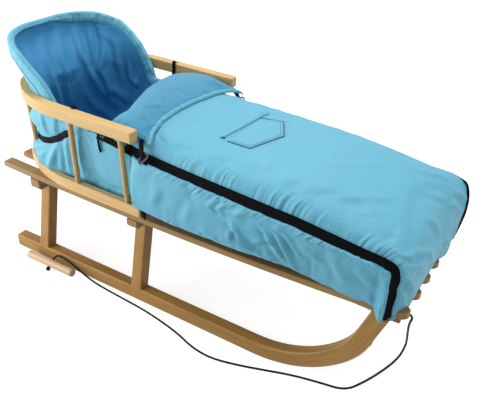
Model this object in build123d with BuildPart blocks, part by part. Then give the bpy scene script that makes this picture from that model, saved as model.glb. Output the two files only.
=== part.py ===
"""Child's bentwood sled with a curved backrest, a tow cord and a padded foot muff.

Frame: +X is forward, +Y is the sled's left side, +Z is up, millimetres.
The origin is on the floor under the middle of the slats.
"""
import math
import os

from build123d import *

os.makedirs("parts", exist_ok=True)

# Overall sizes
sled_length = 900.0
half_length = sled_length / 2
slat_width = 25.0
slat_thickness = 12.0
wood_edge = 1.6
seat_half_width = 140.0
seat_top_rear = 218.0
seat_top_middle = 209.0
seat_top_tip = 222.0

# Runners
runner_width = 24.0
runner_outer_y = seat_half_width + 4.0
runner_depth = 30.0
shoe_thickness = 2.0
shoe_width = 18.0
runner_rear_x = -half_length + 4.0
bend_one_radius = 250.0
bend_one_angle = 50.0
bend_two_radius = 150.0
bend_two_angle = 20.0
horn_bend_x = half_length - 63.4

# Legs and crossbars
leg_width = 26.0
leg_depth = 26.0
leg_splay = 30.0
crossbar_depth = 26.0
crossbar_bottom = 178.0
crossbar_half_length = seat_half_width + 1.0
crossbar_corner = 8.0
bar_x = half_length - 28.0
bar_depth = 28.0
bar_height = 24.0
bar_hole_y = seat_half_width - 39.5
bar_hole_radius = 4.0

# Backrest
base_width = 16.5
base_height = 19.0
base_front_x = -half_length + 378.0
base_tangent_x = -half_length + 190.0
base_side_radius = 260.0
base_side_bow = 48.08
base_corner_radius = 60.0
rail_width = 20.0
rail_height = 23.0
rail_half_width = seat_half_width + 30.0
rail_front_x = -half_length + 395.0
rail_tangent_x = -half_length + 200.0
rail_side_radius = 190.0
rail_side_bow = 52.72
rail_corner_radius = 70.0
rail_top_front = 402.0
rail_top_rear = 408.0
spindle_radius = 5.2
hoop_edge = 2.5

# Foot muff
muff_clearance = 0.4
muff_wall = 10.0
muff_half_width = seat_half_width + 10.0
pad_thickness = 18.0

# Tow cord
cord_radius = 2.0
handle_radius = 8.5

# The seat line is one shallow arc, and everything that meets the slats is cut by it.
seat_line = [(-half_length, seat_top_rear), (0, seat_top_middle), (half_length, seat_top_tip)]


def lifted(dz):
    """Seat line raised by dz, as three points of an arc in the XZ plane."""
    return [(x, z + dz) for x, z in seat_line]


def seat_height(x):
    """Height of the slats' top at x."""
    (x1, z1), (x2, z2), (x3, z3) = seat_line
    a = (x - x2) * (x - x3) / ((x1 - x2) * (x1 - x3))
    b = (x - x1) * (x - x3) / ((x2 - x1) * (x2 - x3))
    c = (x - x1) * (x - x2) / ((x3 - x1) * (x3 - x2))
    return a * z1 + b * z2 + c * z3


# Space from the slats' underside upward, taken off the wood below.
with BuildPart() as above_slats:
    with BuildSketch(Plane.XZ.offset(-250)) as above_profile:
        with BuildLine():
            low = ThreePointArc(*lifted(-slat_thickness))
            Polyline(low @ 1, (half_length, 600), (-half_length, 600), low @ 0)
        make_face()
    extrude(amount=500)

# Space below the slats' top, taken off the soft pieces that lie on them.
with BuildPart() as below_muff:
    with BuildSketch(Plane.XZ.offset(-(runner_outer_y + 0.6))) as below_profile:
        with BuildLine():
            top = ThreePointArc(*lifted(muff_clearance))
            Polyline(top @ 1, (half_length, 100), (-half_length, 100), top @ 0)
        make_face()
    extrude(amount=2 * (runner_outer_y + 0.6))

# Six slats with rounded front tips, the outer two above the runners.
slat_outer_y = seat_half_width - slat_width / 2
slat_pitch = 0.35 * seat_half_width
slat_table = [
    # name, centre y
    ("slat_1", -slat_outer_y),
    ("slat_2", -1.5 * slat_pitch),
    ("slat_3", -0.5 * slat_pitch),
    ("slat_4", 0.5 * slat_pitch),
    ("slat_5", 1.5 * slat_pitch),
    ("slat_6", slat_outer_y),
]
for slat_name, slat_y in slat_table:
    with BuildPart() as slat:
        with BuildSketch(Plane.XZ.offset(-(slat_y + slat_width / 2))) as slat_side:
            with BuildLine():
                slat_top = ThreePointArc(*lifted(0))
                slat_low = ThreePointArc(*lifted(-slat_thickness))
                Line(slat_top @ 0, slat_low @ 0)
                Line(slat_top @ 1, slat_low @ 1)
            make_face()
        extrude(amount=slat_width)
        tip_edges = slat.edges().filter_by(Axis.Z).group_by(Axis.X)[-1]
        fillet(tip_edges, radius=slat_width / 2 - 0.6)
        tail_edges = slat.edges().filter_by(Axis.Z).group_by(Axis.X)[0]
        fillet(tail_edges, radius=3)
        chamfer(slat.faces().group_by(Axis.Z)[-1].edges(), length=wood_edge)
    slat.part.label = slat_name
    export_step(slat.part, f"parts/{slat_name}.step")

# Runners: one bent bar each, flat on the floor and curling up to the outer slats' tips.
runner_mid_z = shoe_thickness + runner_depth / 2
runner_mid_inset = shoe_thickness + runner_depth / 2
turn_one = math.radians(bend_one_angle)
turn_two = math.radians(bend_one_angle + bend_two_angle)
bend_one_run = (bend_one_radius - runner_mid_inset) * math.sin(turn_one)
bend_two_run = (bend_two_radius - runner_mid_inset) * (math.sin(turn_two) - math.sin(turn_one))
bend_one_rise = (bend_one_radius - runner_mid_inset) * (1 - math.cos(turn_one))
bend_two_rise = (bend_two_radius - runner_mid_inset) * (math.cos(turn_one) - math.cos(turn_two))
bend_start_x = horn_bend_x - bend_one_run - bend_two_run
horn_length = (seat_top_tip + 12 - runner_mid_z - bend_one_rise - bend_two_rise) / math.sin(turn_two)
side_table = [
    # name ending, side
    ("right", -1),
    ("left", 1),
]
for side_name, side in side_table:
    runner_plane = Plane.XZ.offset(-side * runner_outer_y + (0 if side > 0 else -runner_width))
    with BuildPart() as runner:
        with BuildSketch(runner_plane) as runner_side:
            with BuildLine():
                sole = Line((runner_rear_x, runner_mid_z), (bend_start_x, runner_mid_z))
                bend_one = JernArc(sole @ 1, sole % 1, bend_one_radius - runner_mid_inset, bend_one_angle)
                bend_two = JernArc(bend_one @ 1, bend_one % 1, bend_two_radius - runner_mid_inset, bend_two_angle)
                PolarLine(bend_two @ 1, horn_length, bend_one_angle + bend_two_angle)
            trace(line_width=runner_depth)
        extrude(amount=runner_width)
        add(above_slats.part, mode=Mode.SUBTRACT)
        heel_edges = runner.edges().filter_by(Axis.Y).group_by(Axis.X)[0]
        fillet(heel_edges, radius=5)
        chamfer(runner.faces().filter_by(Axis.Y).edges(), length=wood_edge)
    runner.part.label = f"runner_{side_name}"
    export_step(runner.part, f"parts/runner_{side_name}.step")

    shoe_plane = Plane.XZ.offset(-side * (runner_outer_y - runner_width / 2) - shoe_width / 2)
    with BuildPart() as shoe:
        with BuildSketch(shoe_plane) as shoe_side:
            with BuildLine():
                flat = Line((runner_rear_x + 8, shoe_thickness / 2), (bend_start_x, shoe_thickness / 2))
                curl_one = JernArc(flat @ 1, flat % 1, bend_one_radius - shoe_thickness / 2, bend_one_angle)
                JernArc(curl_one @ 1, curl_one % 1, bend_two_radius - shoe_thickness / 2, bend_two_angle)
            trace(line_width=shoe_thickness)
        extrude(amount=shoe_width)
    shoe.part.label = f"runner_shoe_{side_name}"
    export_step(shoe.part, f"parts/runner_shoe_{side_name}.step")

# Two trestles: splayed legs on the runners and a crossbar under the slats.
runner_top = shoe_thickness + runner_depth
trestle_table = [
    # name, centre x
    ("rear", -half_length + 92.0),
    ("front", -half_length + 356.0),
]
for trestle_name, trestle_x in trestle_table:
    with BuildPart() as crossbar:
        with BuildSketch(Plane.YZ.offset(trestle_x - crossbar_depth / 2)) as crossbar_face:
            with BuildLine():
                Polyline(
                    (-crossbar_half_length, crossbar_bottom),
                    (crossbar_half_length, crossbar_bottom),
                    (crossbar_half_length, seat_top_rear),
                    (-crossbar_half_length, seat_top_rear),
                    close=True,
                )
            make_face()
            fillet(crossbar_face.vertices().group_by(Axis.Y)[0], radius=crossbar_corner)
        extrude(amount=crossbar_depth)
        add(above_slats.part, mode=Mode.SUBTRACT)
        chamfer(crossbar.faces().filter_by(Axis.X).edges(), length=wood_edge)
    crossbar.part.label = f"crossbar_{trestle_name}"
    export_step(crossbar.part, f"parts/crossbar_{trestle_name}.step")

    for side_name, side in side_table:
        with BuildPart() as leg:
            with BuildSketch(Plane.YZ.offset(trestle_x - leg_depth / 2)) as leg_face:
                with BuildLine():
                    Polyline(
                        (side * runner_outer_y, runner_top),
                        (side * (runner_outer_y - leg_width), runner_top),
                        (side * (runner_outer_y - leg_width - leg_splay), crossbar_bottom),
                        (side * (runner_outer_y - leg_splay), crossbar_bottom),
                        close=True,
                    )
                make_face()
            extrude(amount=leg_depth)
            leg_sides = leg.edges().filter_by(lambda edge: abs(edge.tangent_at(0.5).Z) > 0.5)
            chamfer(leg_sides, length=wood_edge)
        leg.part.label = f"leg_{trestle_name}_{side_name}"
        export_step(leg.part, f"parts/leg_{trestle_name}_{side_name}.step")

# Front bar between the runner horns, with two holes for the tow cord.
with BuildPart() as front_bar:
    with BuildSketch(Plane.XZ.offset(-(runner_outer_y - runner_width))) as bar_face:
        with Locations((bar_x, seat_height(bar_x) - slat_thickness - bar_height / 2 + 2)):
            Rectangle(bar_depth, bar_height + 4)
    extrude(amount=2 * (runner_outer_y - runner_width))
    fillet(front_bar.edges().filter_by(Axis.Y).group_by(Axis.Z)[0], radius=wood_edge)
    add(above_slats.part, mode=Mode.SUBTRACT)
    bar_hole_z = seat_height(bar_x) - slat_thickness - bar_height / 2
    with BuildSketch(Plane.YZ.offset(bar_x - bar_depth)) as hole_face:
        with Locations((-bar_hole_y, bar_hole_z), (bar_hole_y, bar_hole_z)):
            Circle(bar_hole_radius)
    extrude(amount=2 * bar_depth, mode=Mode.SUBTRACT)
front_bar.part.label = "front_bar"
export_step(front_bar.part, "parts/front_bar.step")

# Lower backrest hoop, bent flat and lying on the slats.
base_mid_inset = base_width / 2
base_side_angle = math.degrees(math.acos(1 - base_side_bow / (base_side_radius - base_mid_inset)))
base_end_x = -half_length + 20
base_rise = seat_height(base_end_x) - seat_height(base_front_x)
base_tilt = base_rise / (base_front_x - base_end_x)
base_foot_z = seat_height(base_front_x) + base_front_x * base_tilt - 6
base_plane = Plane((0, 0, base_foot_z), x_dir=(1, 0, -base_tilt), z_dir=(base_tilt, 0, 1))
with BuildPart() as backrest_base:
    with BuildSketch(base_plane) as base_plan:
        with BuildLine() as base_half:
            base_side = Line(
                (base_front_x, -seat_half_width + base_mid_inset),
                (base_tangent_x, -seat_half_width + base_mid_inset),
            )
            base_sweep = JernArc(
                base_side @ 1, base_side % 1, base_side_radius - base_mid_inset, -base_side_angle
            )
            base_corner = JernArc(
                base_sweep @ 1, base_sweep % 1, base_corner_radius - base_mid_inset, base_side_angle - 90
            )
            Line(base_corner @ 1, ((base_corner @ 1).X, 0))
            mirror(about=Plane.XZ)
        trace(line_width=base_width)
    extrude(amount=base_height + 6)
    base_ends = backrest_base.faces().group_by(Axis.X)[-1].edges()
    fillet(base_ends.filter_by(lambda edge: abs(edge.tangent_at(0.5).Z) > 0.9), radius=5)
    chamfer(backrest_base.faces().sort_by(Axis.Z)[-1].edges(), length=2.5)
    with BuildSketch(Plane.XZ.offset(-250)) as base_band:
        with BuildLine():
            band_low = ThreePointArc(*lifted(0))
            Polyline(band_low @ 1, (half_length, 100), (-half_length, 100), band_low @ 0)
        make_face()
    extrude(amount=500, mode=Mode.SUBTRACT)
backrest_base.part.label = "backrest_base"
export_step(backrest_base.part, "parts/backrest_base.step")

# Upper backrest rail, a wider hoop that rises a little to the rear.
rail_mid_inset = rail_width / 2
rail_side_angle = math.degrees(math.acos(1 - rail_side_bow / (rail_side_radius - rail_mid_inset)))
rail_tilt = (rail_top_rear - rail_top_front) / (rail_front_x + half_length)
rail_foot_z = rail_top_front - rail_height + rail_front_x * rail_tilt
rail_plane = Plane((0, 0, rail_foot_z), x_dir=(1, 0, -rail_tilt), z_dir=(rail_tilt, 0, 1))
with BuildPart() as backrest_rail:
    with BuildSketch(rail_plane) as rail_plan:
        with BuildLine() as rail_half:
            rail_side = Line(
                (rail_front_x, -rail_half_width + rail_mid_inset),
                (rail_tangent_x, -rail_half_width + rail_mid_inset),
            )
            rail_sweep = JernArc(
                rail_side @ 1, rail_side % 1, rail_side_radius - rail_mid_inset, -rail_side_angle
            )
            rail_corner = JernArc(
                rail_sweep @ 1, rail_sweep % 1, rail_corner_radius - rail_mid_inset, rail_side_angle - 90
            )
            Line(rail_corner @ 1, ((rail_corner @ 1).X, 0))
            mirror(about=Plane.XZ)
        trace(line_width=rail_width)
    extrude(amount=rail_height)
    rail_ends = backrest_rail.faces().group_by(Axis.X)[-1].edges()
    fillet(rail_ends.filter_by(lambda edge: abs(edge.tangent_at(0.5).Z) > 0.9), radius=3.5)
    fillet(backrest_rail.faces().sort_by(Axis.Z)[-1].edges(), radius=hoop_edge)
    chamfer(backrest_rail.faces().sort_by(Axis.Z)[0].edges(), length=2.5)
backrest_rail.part.label = "backrest_rail"
export_step(backrest_rail.part, "parts/backrest_rail.step")

# Turned spindles, leaning outward and forward, trimmed by both hoops.
base_rear_x = (base_corner @ 1).X
rail_rear_x = (rail_corner @ 1).X
base_mid_y = seat_half_width - base_mid_inset
rail_mid_y = rail_half_width - rail_mid_inset
spindle_table = [
    # name, foot x, foot y, head x, head y
    ("spindle_side_front", base_front_x - 36.0, base_mid_y, rail_front_x - 33.0, rail_mid_y),
    ("spindle_side_rear", base_tangent_x + 24.0, base_mid_y, rail_tangent_x + 42.0, rail_mid_y),
    ("spindle_corner", base_rear_x + 64.8, base_mid_y - 21.75, rail_rear_x + 54.9, rail_mid_y - 22.5),
    ("spindle_back", base_rear_x, 34.0, rail_rear_x, 46.0),
]
for spindle_name, foot_x, foot_y, head_x, head_y in spindle_table:
    for side_name, side in side_table:
        foot = Vector(foot_x, side * foot_y, seat_height(foot_x) + base_height - 4)
        head = Vector(head_x, side * head_y, rail_top_front - rail_height + 8)
        with BuildPart() as spindle:
            with BuildSketch(Plane(foot, z_dir=head - foot)) as spindle_foot:
                Circle(spindle_radius)
            extrude(amount=(head - foot).length)
            add(backrest_base.part, mode=Mode.SUBTRACT)
            add(backrest_rail.part, mode=Mode.SUBTRACT)
        spindle.part.label = f"{spindle_name}_{side_name}"
        export_step(spindle.part, f"parts/{spindle_name}_{side_name}.step")

# Foot muff back: one padded wall from the slats up inside both hoops and over the rail.
back_corner = base_mid_y - 17.75
back_table = [
    # height, rear x, half width, corner radius
    (205.0, base_rear_x + 11.3, base_mid_y - 17.25, back_corner),
    (240.0, base_rear_x + 14.8, base_mid_y - 15.25, back_corner),
    (rail_top_front - 24, rail_rear_x + 11.8, rail_mid_y - 15.0, back_corner),
    (rail_top_front + 10, rail_rear_x + 11.8, rail_mid_y - 15.0, back_corner),
    (rail_top_front + 73, rail_rear_x - 40.2, rail_mid_y - 12.0, back_corner),
    (rail_top_front + 98, rail_rear_x - 35.2, rail_mid_y - 14.0, back_corner),
]
back_front_x = -half_length + 399.0
wall_top_z = rail_top_front - 42.0
wing_x = -half_length
with BuildPart() as muff_back:
    for back_z, back_x, back_y, back_r in back_table:
        with BuildSketch(Plane.XY.offset(back_z)) as back_ring:
            with Locations(((back_x + back_front_x) / 2, 0)):
                Rectangle(back_front_x - back_x, 2 * back_y)
            fillet(back_ring.vertices().group_by(Axis.X)[0], radius=back_r)
    loft(ruled=True)
    for back_z, back_x, back_y, back_r in back_table:
        with BuildSketch(Plane.XY.offset(back_z)) as back_hollow:
            with Locations(((back_x + muff_wall + back_front_x + 20) / 2, 0)):
                Rectangle(back_front_x + 20 - back_x - muff_wall, 2 * (back_y - muff_wall))
            fillet(back_hollow.vertices().group_by(Axis.X)[0], radius=back_r - muff_wall)
    loft(ruled=True, mode=Mode.SUBTRACT)
    add(below_muff.part, mode=Mode.SUBTRACT)
    with BuildSketch(Plane.XZ.offset(-250)) as wing_cut:
        with BuildLine():
            Polyline(
                (wing_x, rail_top_front + 92),
                (wing_x + 70, rail_top_front + 87),
                (wing_x + 115, rail_top_front + 72),
                (wing_x + 136, rail_top_front + 54),
                (wing_x + 156, rail_top_front + 32),
                (wing_x + 176, rail_top_front - 8),
                (wing_x + 194, wall_top_z),
                (back_front_x + 5, wall_top_z),
                (back_front_x + 5, rail_top_front + 118),
                (wing_x, rail_top_front + 118),
                close=True,
            )
        make_face()
    extrude(amount=500, mode=Mode.SUBTRACT)
muff_back.part.label = "muff_back"
export_step(muff_back.part, "parts/muff_back.step")

# Seat pad of the muff, lying on the slats between the walls.
pad_rear_x = base_rear_x + 25.3
pad_half_width = base_mid_y - 28.25
with BuildPart() as muff_pad:
    with BuildSketch(Plane.XY.offset(150)) as pad_plan:
        with Locations(((pad_rear_x + back_front_x) / 2, 0)):
            Rectangle(back_front_x - pad_rear_x, 2 * pad_half_width)
        fillet(pad_plan.vertices().group_by(Axis.X)[0], radius=pad_half_width - 0.5)
    extrude(amount=100)
    with BuildSketch(Plane.XZ.offset(-250)) as pad_band:
        with BuildLine():
            pad_low = ThreePointArc(*lifted(muff_clearance))
            pad_top = ThreePointArc(*lifted(muff_clearance + pad_thickness))
            Line(pad_low @ 0, pad_top @ 0)
            Line(pad_low @ 1, pad_top @ 1)
        make_face()
    extrude(amount=500, mode=Mode.INTERSECT)
muff_pad.part.label = "muff_pad"
export_step(muff_pad.part, "parts/muff_pad.step")

# Leg bag of the muff: a padded tunnel, open to the rear.
tunnel_table = [
    # x, hem height, zip height, shoulder height, crown height
    (back_front_x + 1.0, 210.0, 351.0, 380.0, 388.0),
    (half_length - 300.0, 210.0, 328.0, 375.0, 383.0),
    (half_length - 140.0, 206.0, 320.0, 364.0, 371.0),
    (half_length - 35.0, 194.0, 315.0, 336.0, 342.0),
    (half_length - 7.0, 194.0, 298.0, 314.0, 318.0),
]
with BuildPart() as muff_tunnel:
    for sta_x, hem_z, zip_z, shoulder_z, crown_z in tunnel_table:
        with BuildSketch(Plane.YZ.offset(sta_x)) as tunnel_ring:
            with BuildLine():
                Polyline(
                    (-muff_half_width + 1, hem_z),
                    (-muff_half_width, zip_z),
                    (-muff_half_width + 20, shoulder_z),
                    (-muff_half_width + 50, crown_z),
                    (muff_half_width - 50, crown_z),
                    (muff_half_width - 20, shoulder_z),
                    (muff_half_width, zip_z),
                    (muff_half_width - 1, hem_z),
                    close=True,
                )
            make_face()
    loft(ruled=True)
    for row, (sta_x, hem_z, zip_z, shoulder_z, crown_z) in enumerate(tunnel_table[:4]):
        sta_in = sta_x - (10 if row == 0 else 0)
        floor_z = seat_height(sta_x) + muff_clearance + pad_thickness
        with BuildSketch(Plane.YZ.offset(sta_in)) as tunnel_hollow:
            with BuildLine():
                Polyline(
                    (-muff_half_width + 18, floor_z),
                    (-muff_half_width + muff_wall, zip_z),
                    (-muff_half_width + 28, shoulder_z - muff_wall),
                    (-muff_half_width + 54, crown_z - muff_wall),
                    (muff_half_width - 54, crown_z - muff_wall),
                    (muff_half_width - 28, shoulder_z - muff_wall),
                    (muff_half_width - muff_wall, zip_z),
                    (muff_half_width - 18, floor_z),
                    close=True,
                )
            make_face()
    loft(ruled=True, mode=Mode.SUBTRACT)
    add(below_muff.part, mode=Mode.SUBTRACT)
muff_tunnel.part.label = "muff_tunnel"
export_step(muff_tunnel.part, "parts/muff_tunnel.step")

# Folded fleece collar, a thick band over the rear end of the tunnel.
collar_x = -half_length + 300.0
collar_length = 98.0
collar_y = rail_mid_y - 14.0
collar_low_z = wall_top_z + muff_clearance
with BuildPart() as muff_collar:
    with BuildSketch(Plane.YZ.offset(collar_x)) as collar_face:
        with BuildLine():
            Polyline(
                (-collar_y + 1, collar_low_z),
                (-collar_y, collar_low_z + 26),
                (-collar_y + 18, collar_low_z + 43),
                (-collar_y + 61, collar_low_z + 51),
                (collar_y - 61, collar_low_z + 51),
                (collar_y - 18, collar_low_z + 43),
                (collar_y, collar_low_z + 26),
                (collar_y - 1, collar_low_z),
                (collar_y - 14, collar_low_z),
                (collar_y - 14, collar_low_z + 20),
                (collar_y - 28, collar_low_z + 30),
                (collar_y - 64, collar_low_z + 36),
                (-collar_y + 64, collar_low_z + 36),
                (-collar_y + 28, collar_low_z + 30),
                (-collar_y + 14, collar_low_z + 20),
                (-collar_y + 14, collar_low_z),
                close=True,
            )
        make_face()
    extrude(amount=collar_length)
muff_collar.part.label = "muff_collar"
export_step(muff_collar.part, "parts/muff_collar.step")

# Zip tapes along the muff's side edges and down its front corners.
for side_name, side in side_table:
    tape_y = muff_half_width + 0.4
    with BuildPart() as zip_tape:
        with BuildSketch(Plane.XZ.offset(-side * tape_y - (1.6 if side > 0 else 0))) as tape_side:
            with BuildLine():
                FilletPolyline(
                    (-half_length + 406, 350.5),
                    (half_length - 300, 328),
                    (half_length - 140, 320),
                    (half_length - 33, 314),
                    (half_length - 23, 204),
                    radius=15,
                )
            trace(line_width=19)
        extrude(amount=1.6)
    zip_tape.part.label = f"zip_tape_{side_name}"
    export_step(zip_tape.part, f"parts/zip_tape_{side_name}.step")

# Pocket flap on the muff's top.
(crown_x1, _, _, _, crown_z1), (crown_x2, _, _, _, crown_z2) = tunnel_table[:2]
flap_x = half_length - 384.0
flap_slope = (crown_z2 - crown_z1) / (crown_x2 - crown_x1)
flap_z = crown_z1 + (flap_x - crown_x1) * flap_slope + muff_clearance
with BuildPart() as pocket_flap:
    with BuildSketch(Plane((flap_x, 0, flap_z), x_dir=(1, 0, flap_slope))) as flap_face:
        with BuildLine():
            Polyline((0, -68), (0, 68), (44, 62), (72, 0), (44, -62), close=True)
        make_face()
    extrude(amount=2.5)
pocket_flap.part.label = "pocket_flap"
export_step(pocket_flap.part, "parts/pocket_flap.step")

# Wooden tow handle lying beside the right runner, tilted by the knot below it.
handle_mid = Vector(-half_length + 131.5, -165.0, 14.3)
handle_half = Vector(71.3, -4.0, 5.6)
handle_dir = handle_half.normalized()
handle_len = 2 * handle_half.length
cord_dir = Vector(0, math.sqrt(0.5), math.sqrt(0.5))
cord_side = handle_dir.cross(cord_dir)
knot_radius = 4.5
with BuildPart() as tow_handle:
    with BuildSketch(Plane(handle_mid - handle_half, z_dir=handle_dir)) as handle_end:
        Circle(handle_radius)
    extrude(amount=handle_len)
    chamfer(tow_handle.edges(), length=1.5)
    with BuildSketch(Plane(handle_mid - cord_dir * 20, z_dir=cord_dir)) as handle_hole:
        Circle(cord_radius + 0.3)
    extrude(amount=40, mode=Mode.SUBTRACT)
tow_handle.part.label = "tow_handle"
export_step(tow_handle.part, "parts/tow_handle.step")

# Stopper knot under the handle.
handle_knot_mid = handle_mid - cord_dir * (handle_radius + 4.0)
with BuildPart() as handle_knot:
    with BuildSketch(Plane(handle_mid - cord_dir * handle_radius, z_dir=-cord_dir)) as knot_face:
        Circle(knot_radius)
    extrude(amount=2 * knot_radius)
    chamfer(handle_knot.edges(), length=0.35 * knot_radius)
    with BuildSketch(Plane(handle_mid, z_dir=handle_dir)) as knot_cut:
        Circle(handle_radius + 0.01)
    extrude(amount=20, both=True, mode=Mode.SUBTRACT)
handle_knot.part.label = "handle_knot"
export_step(handle_knot.part, "parts/handle_knot.step")

# Tow cord from the handle's knot, along the floor and round the right runner's bend,
# up through the front bar's right hole, behind the bar and out of its left hole.
cord_start = handle_mid - cord_dir * handle_radius
bar_front = bar_x + bar_depth / 2
bar_back = bar_x - bar_depth / 2
cord_points = [
    tuple(cord_start),
    tuple(handle_mid + cord_dir * 21),
    (-292, -150.0, 31.0),
    (-254, -150.8, 20.0),
    (-210, -152.5, 4.0),
    (-160, -155.5, 2.2),
    (-108, -158.5, 2.2),
    (-60, -161.5, 2.2),
    (-8, -169.0, 2.2),
    (40, -179.0, 2.2),
    (85, -194.0, 2.2),
    (130, -197.0, 2.2),
    (180, -184.0, 2.2),
    (225, -168.5, 2.2),
    (275, -150.5, 2.2),
    (325, -139.0, 2.2),
    (370, -131.0, 2.2),
    (391, -95.0, 2.2),
    (410, -50.0, 2.2),
    (424, -2.0, 2.2),
    (430, 6.0, 34.0),
    (434, -22.0, 76.0),
    (438, -50.0, 117.0),
    (443, -80.0, 158.0),
    (452, -bar_hole_y, bar_hole_z),
    (bar_back - 14, -bar_hole_y, bar_hole_z),
    (bar_back - 15, -55.0, bar_hole_z - 12),
    (bar_back - 15, 0.0, bar_hole_z - 17),
    (bar_back - 15, 55.0, bar_hole_z - 12),
    (bar_back - 14, bar_hole_y, bar_hole_z),
    (bar_front, bar_hole_y, bar_hole_z),
]
cord_runs = [(Vector(*b) - Vector(*a)) for a, b in zip(cord_points, cord_points[1:])]
cord_radii = []
for run_in, run_out in zip(cord_runs, cord_runs[1:]):
    turn = math.radians(run_in.get_angle(run_out))
    cord_radii.append(0.45 * min(run_in.length, run_out.length) / math.tan(turn / 2))
with BuildPart() as tow_cord:
    with BuildLine() as cord_path:
        FilletPolyline(*cord_points, radius=cord_radii)
    with BuildSketch(Plane(cord_path.line @ 0, z_dir=cord_path.line % 0)) as cord_face:
        Circle(cord_radius)
    sweep()
tow_cord.part.label = "tow_cord"
export_step(tow_cord.part, "parts/tow_cord.step")
cord_length = sum(edge.length for edge in cord_path.edges())
cord_volume = math.pi * cord_radius**2 * cord_length
print("cord length", round(cord_length, 1), "smallest radius", round(min(cord_radii), 1))
print("cord radii", [round(r, 1) for r in cord_radii])
print("cord runs", [round(r.length, 1) for r in cord_runs])
print("cord volume", round(tow_cord.part.volume, 1), "section x length", round(cord_volume, 1))

# Stopper knot in front of the bar's left hole.
with BuildPart() as bar_knot:
    with BuildSketch(Plane.YZ.offset(bar_front)) as bar_knot_face:
        with Locations((bar_hole_y, bar_hole_z)):
            Circle(5.5)
    extrude(amount=9)
    chamfer(bar_knot.edges(), length=2)
bar_knot.part.label = "bar_knot"
export_step(bar_knot.part, "parts/bar_knot.step")
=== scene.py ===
# %% [markdown]
# # A wooden sled with a padded foot muff
#
# The sled is a frame of bent beech bars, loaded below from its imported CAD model. It stays exactly
# where it is, and only gets its finish here. The foot muff, the zips and the fittings are
# made in this file, each in the space that its plain CAD solid holds.

# %% The frame
import math

import bmesh
import bpy
import numpy as np
from mathutils import Matrix, Vector, noise


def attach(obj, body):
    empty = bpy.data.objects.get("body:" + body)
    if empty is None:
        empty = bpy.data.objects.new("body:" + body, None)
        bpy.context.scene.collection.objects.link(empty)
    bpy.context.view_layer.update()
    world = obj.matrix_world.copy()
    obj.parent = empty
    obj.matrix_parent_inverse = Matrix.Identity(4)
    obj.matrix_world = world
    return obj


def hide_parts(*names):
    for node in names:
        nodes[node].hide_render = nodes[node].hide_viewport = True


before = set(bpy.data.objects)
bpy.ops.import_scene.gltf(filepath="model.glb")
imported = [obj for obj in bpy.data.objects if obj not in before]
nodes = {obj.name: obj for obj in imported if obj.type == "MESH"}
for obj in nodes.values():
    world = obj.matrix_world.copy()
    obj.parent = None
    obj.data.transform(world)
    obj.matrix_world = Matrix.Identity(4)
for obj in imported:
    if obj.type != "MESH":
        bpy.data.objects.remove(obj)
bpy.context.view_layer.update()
scene = bpy.context.scene

# %% [markdown]
# ## Camera
#
# The camera stands where the photograph's straight edges say: to the right of the sled, ahead of
# it and above it, with a slight roll. A rolled camera is easiest to write as a matrix whose columns
# are its right, up and back directions.

# %% Camera
CAMERA_AT = Vector((0.59273, -0.88403, 0.85338))
CAMERA_LOOKS_AT = Vector((0.06590, 0.0, 0.22384))
CAMERA_ROLL = 0.03167


def rolled_camera(place, target, roll, lens):
    """A camera at place that looks at target, turned by roll about its own axis."""
    forward = (target - place).normalized()
    level = Vector((forward.y, -forward.x, 0)).normalized()
    upright = level.cross(forward)
    right = math.cos(roll) * level + math.sin(roll) * upright
    up = math.cos(roll) * upright - math.sin(roll) * level
    data = bpy.data.cameras.new("camera")
    data.lens = lens
    data.sensor_width = 36.0
    camera = bpy.data.objects.new("camera", data)
    turn = Matrix((right, up, -forward)).transposed().to_4x4()
    camera.matrix_world = Matrix.Translation(place) @ turn
    scene.collection.objects.link(camera)
    return camera


scene.camera = rolled_camera(CAMERA_AT, CAMERA_LOOKS_AT, CAMERA_ROLL, 46.174)
print("camera", round((CAMERA_AT - CAMERA_LOOKS_AT).length, 3), "m from what it looks at")

# %% [markdown]
# ## Helpers for materials
#
# A material is a small network of nodes. These helpers add a node with its inputs in one line,
# and turn a short recipe into a node group, so that each effect is written once and used by
# several finishes with their own values.

# %% Node helpers
def node(tree, kind, inputs=None, **settings):
    """Adds one node. Inputs are values, or sockets of other nodes to be linked."""
    made = tree.nodes.new(kind)
    for key, value in settings.items():
        setattr(made, key, value)
    for key, value in (inputs or {}).items():
        if isinstance(value, bpy.types.NodeSocket):
            tree.links.new(value, made.inputs[key])
        else:
            made.inputs[key].default_value = value
    return made


def math_node(tree, operation, a, b=0.0, c=0.0):
    """A Math node's output."""
    return node(tree, "ShaderNodeMath", {0: a, 1: b, 2: c}, operation=operation).outputs[0]


def colour_mix(tree, mask, a, b, blend="MIX"):
    """The colour between a and b at mask."""
    made = node(tree, "ShaderNodeMix", data_type="RGBA", blend_type=blend)
    for slot, value in ((0, mask), (6, a), (7, b)):
        if isinstance(value, bpy.types.NodeSocket):
            tree.links.new(value, made.inputs[slot])
        else:
            made.inputs[slot].default_value = value
    return made.outputs[2]


def new_group(name, sockets_in, sockets_out):
    """An empty shader group with named sockets, and its input and output nodes."""
    tree = bpy.data.node_groups.new(name, "ShaderNodeTree")
    for label, kind in sockets_in:
        tree.interface.new_socket(label, in_out="INPUT", socket_type="NodeSocket" + kind)
    for label, kind in sockets_out:
        tree.interface.new_socket(label, in_out="OUTPUT", socket_type="NodeSocket" + kind)
    return tree, node(tree, "NodeGroupInput").outputs, node(tree, "NodeGroupOutput")


def send(tree, outgoing, **values):
    """Links sockets to the group's named outputs."""
    for label, socket in values.items():
        tree.links.new(socket, outgoing.inputs[label])


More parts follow.
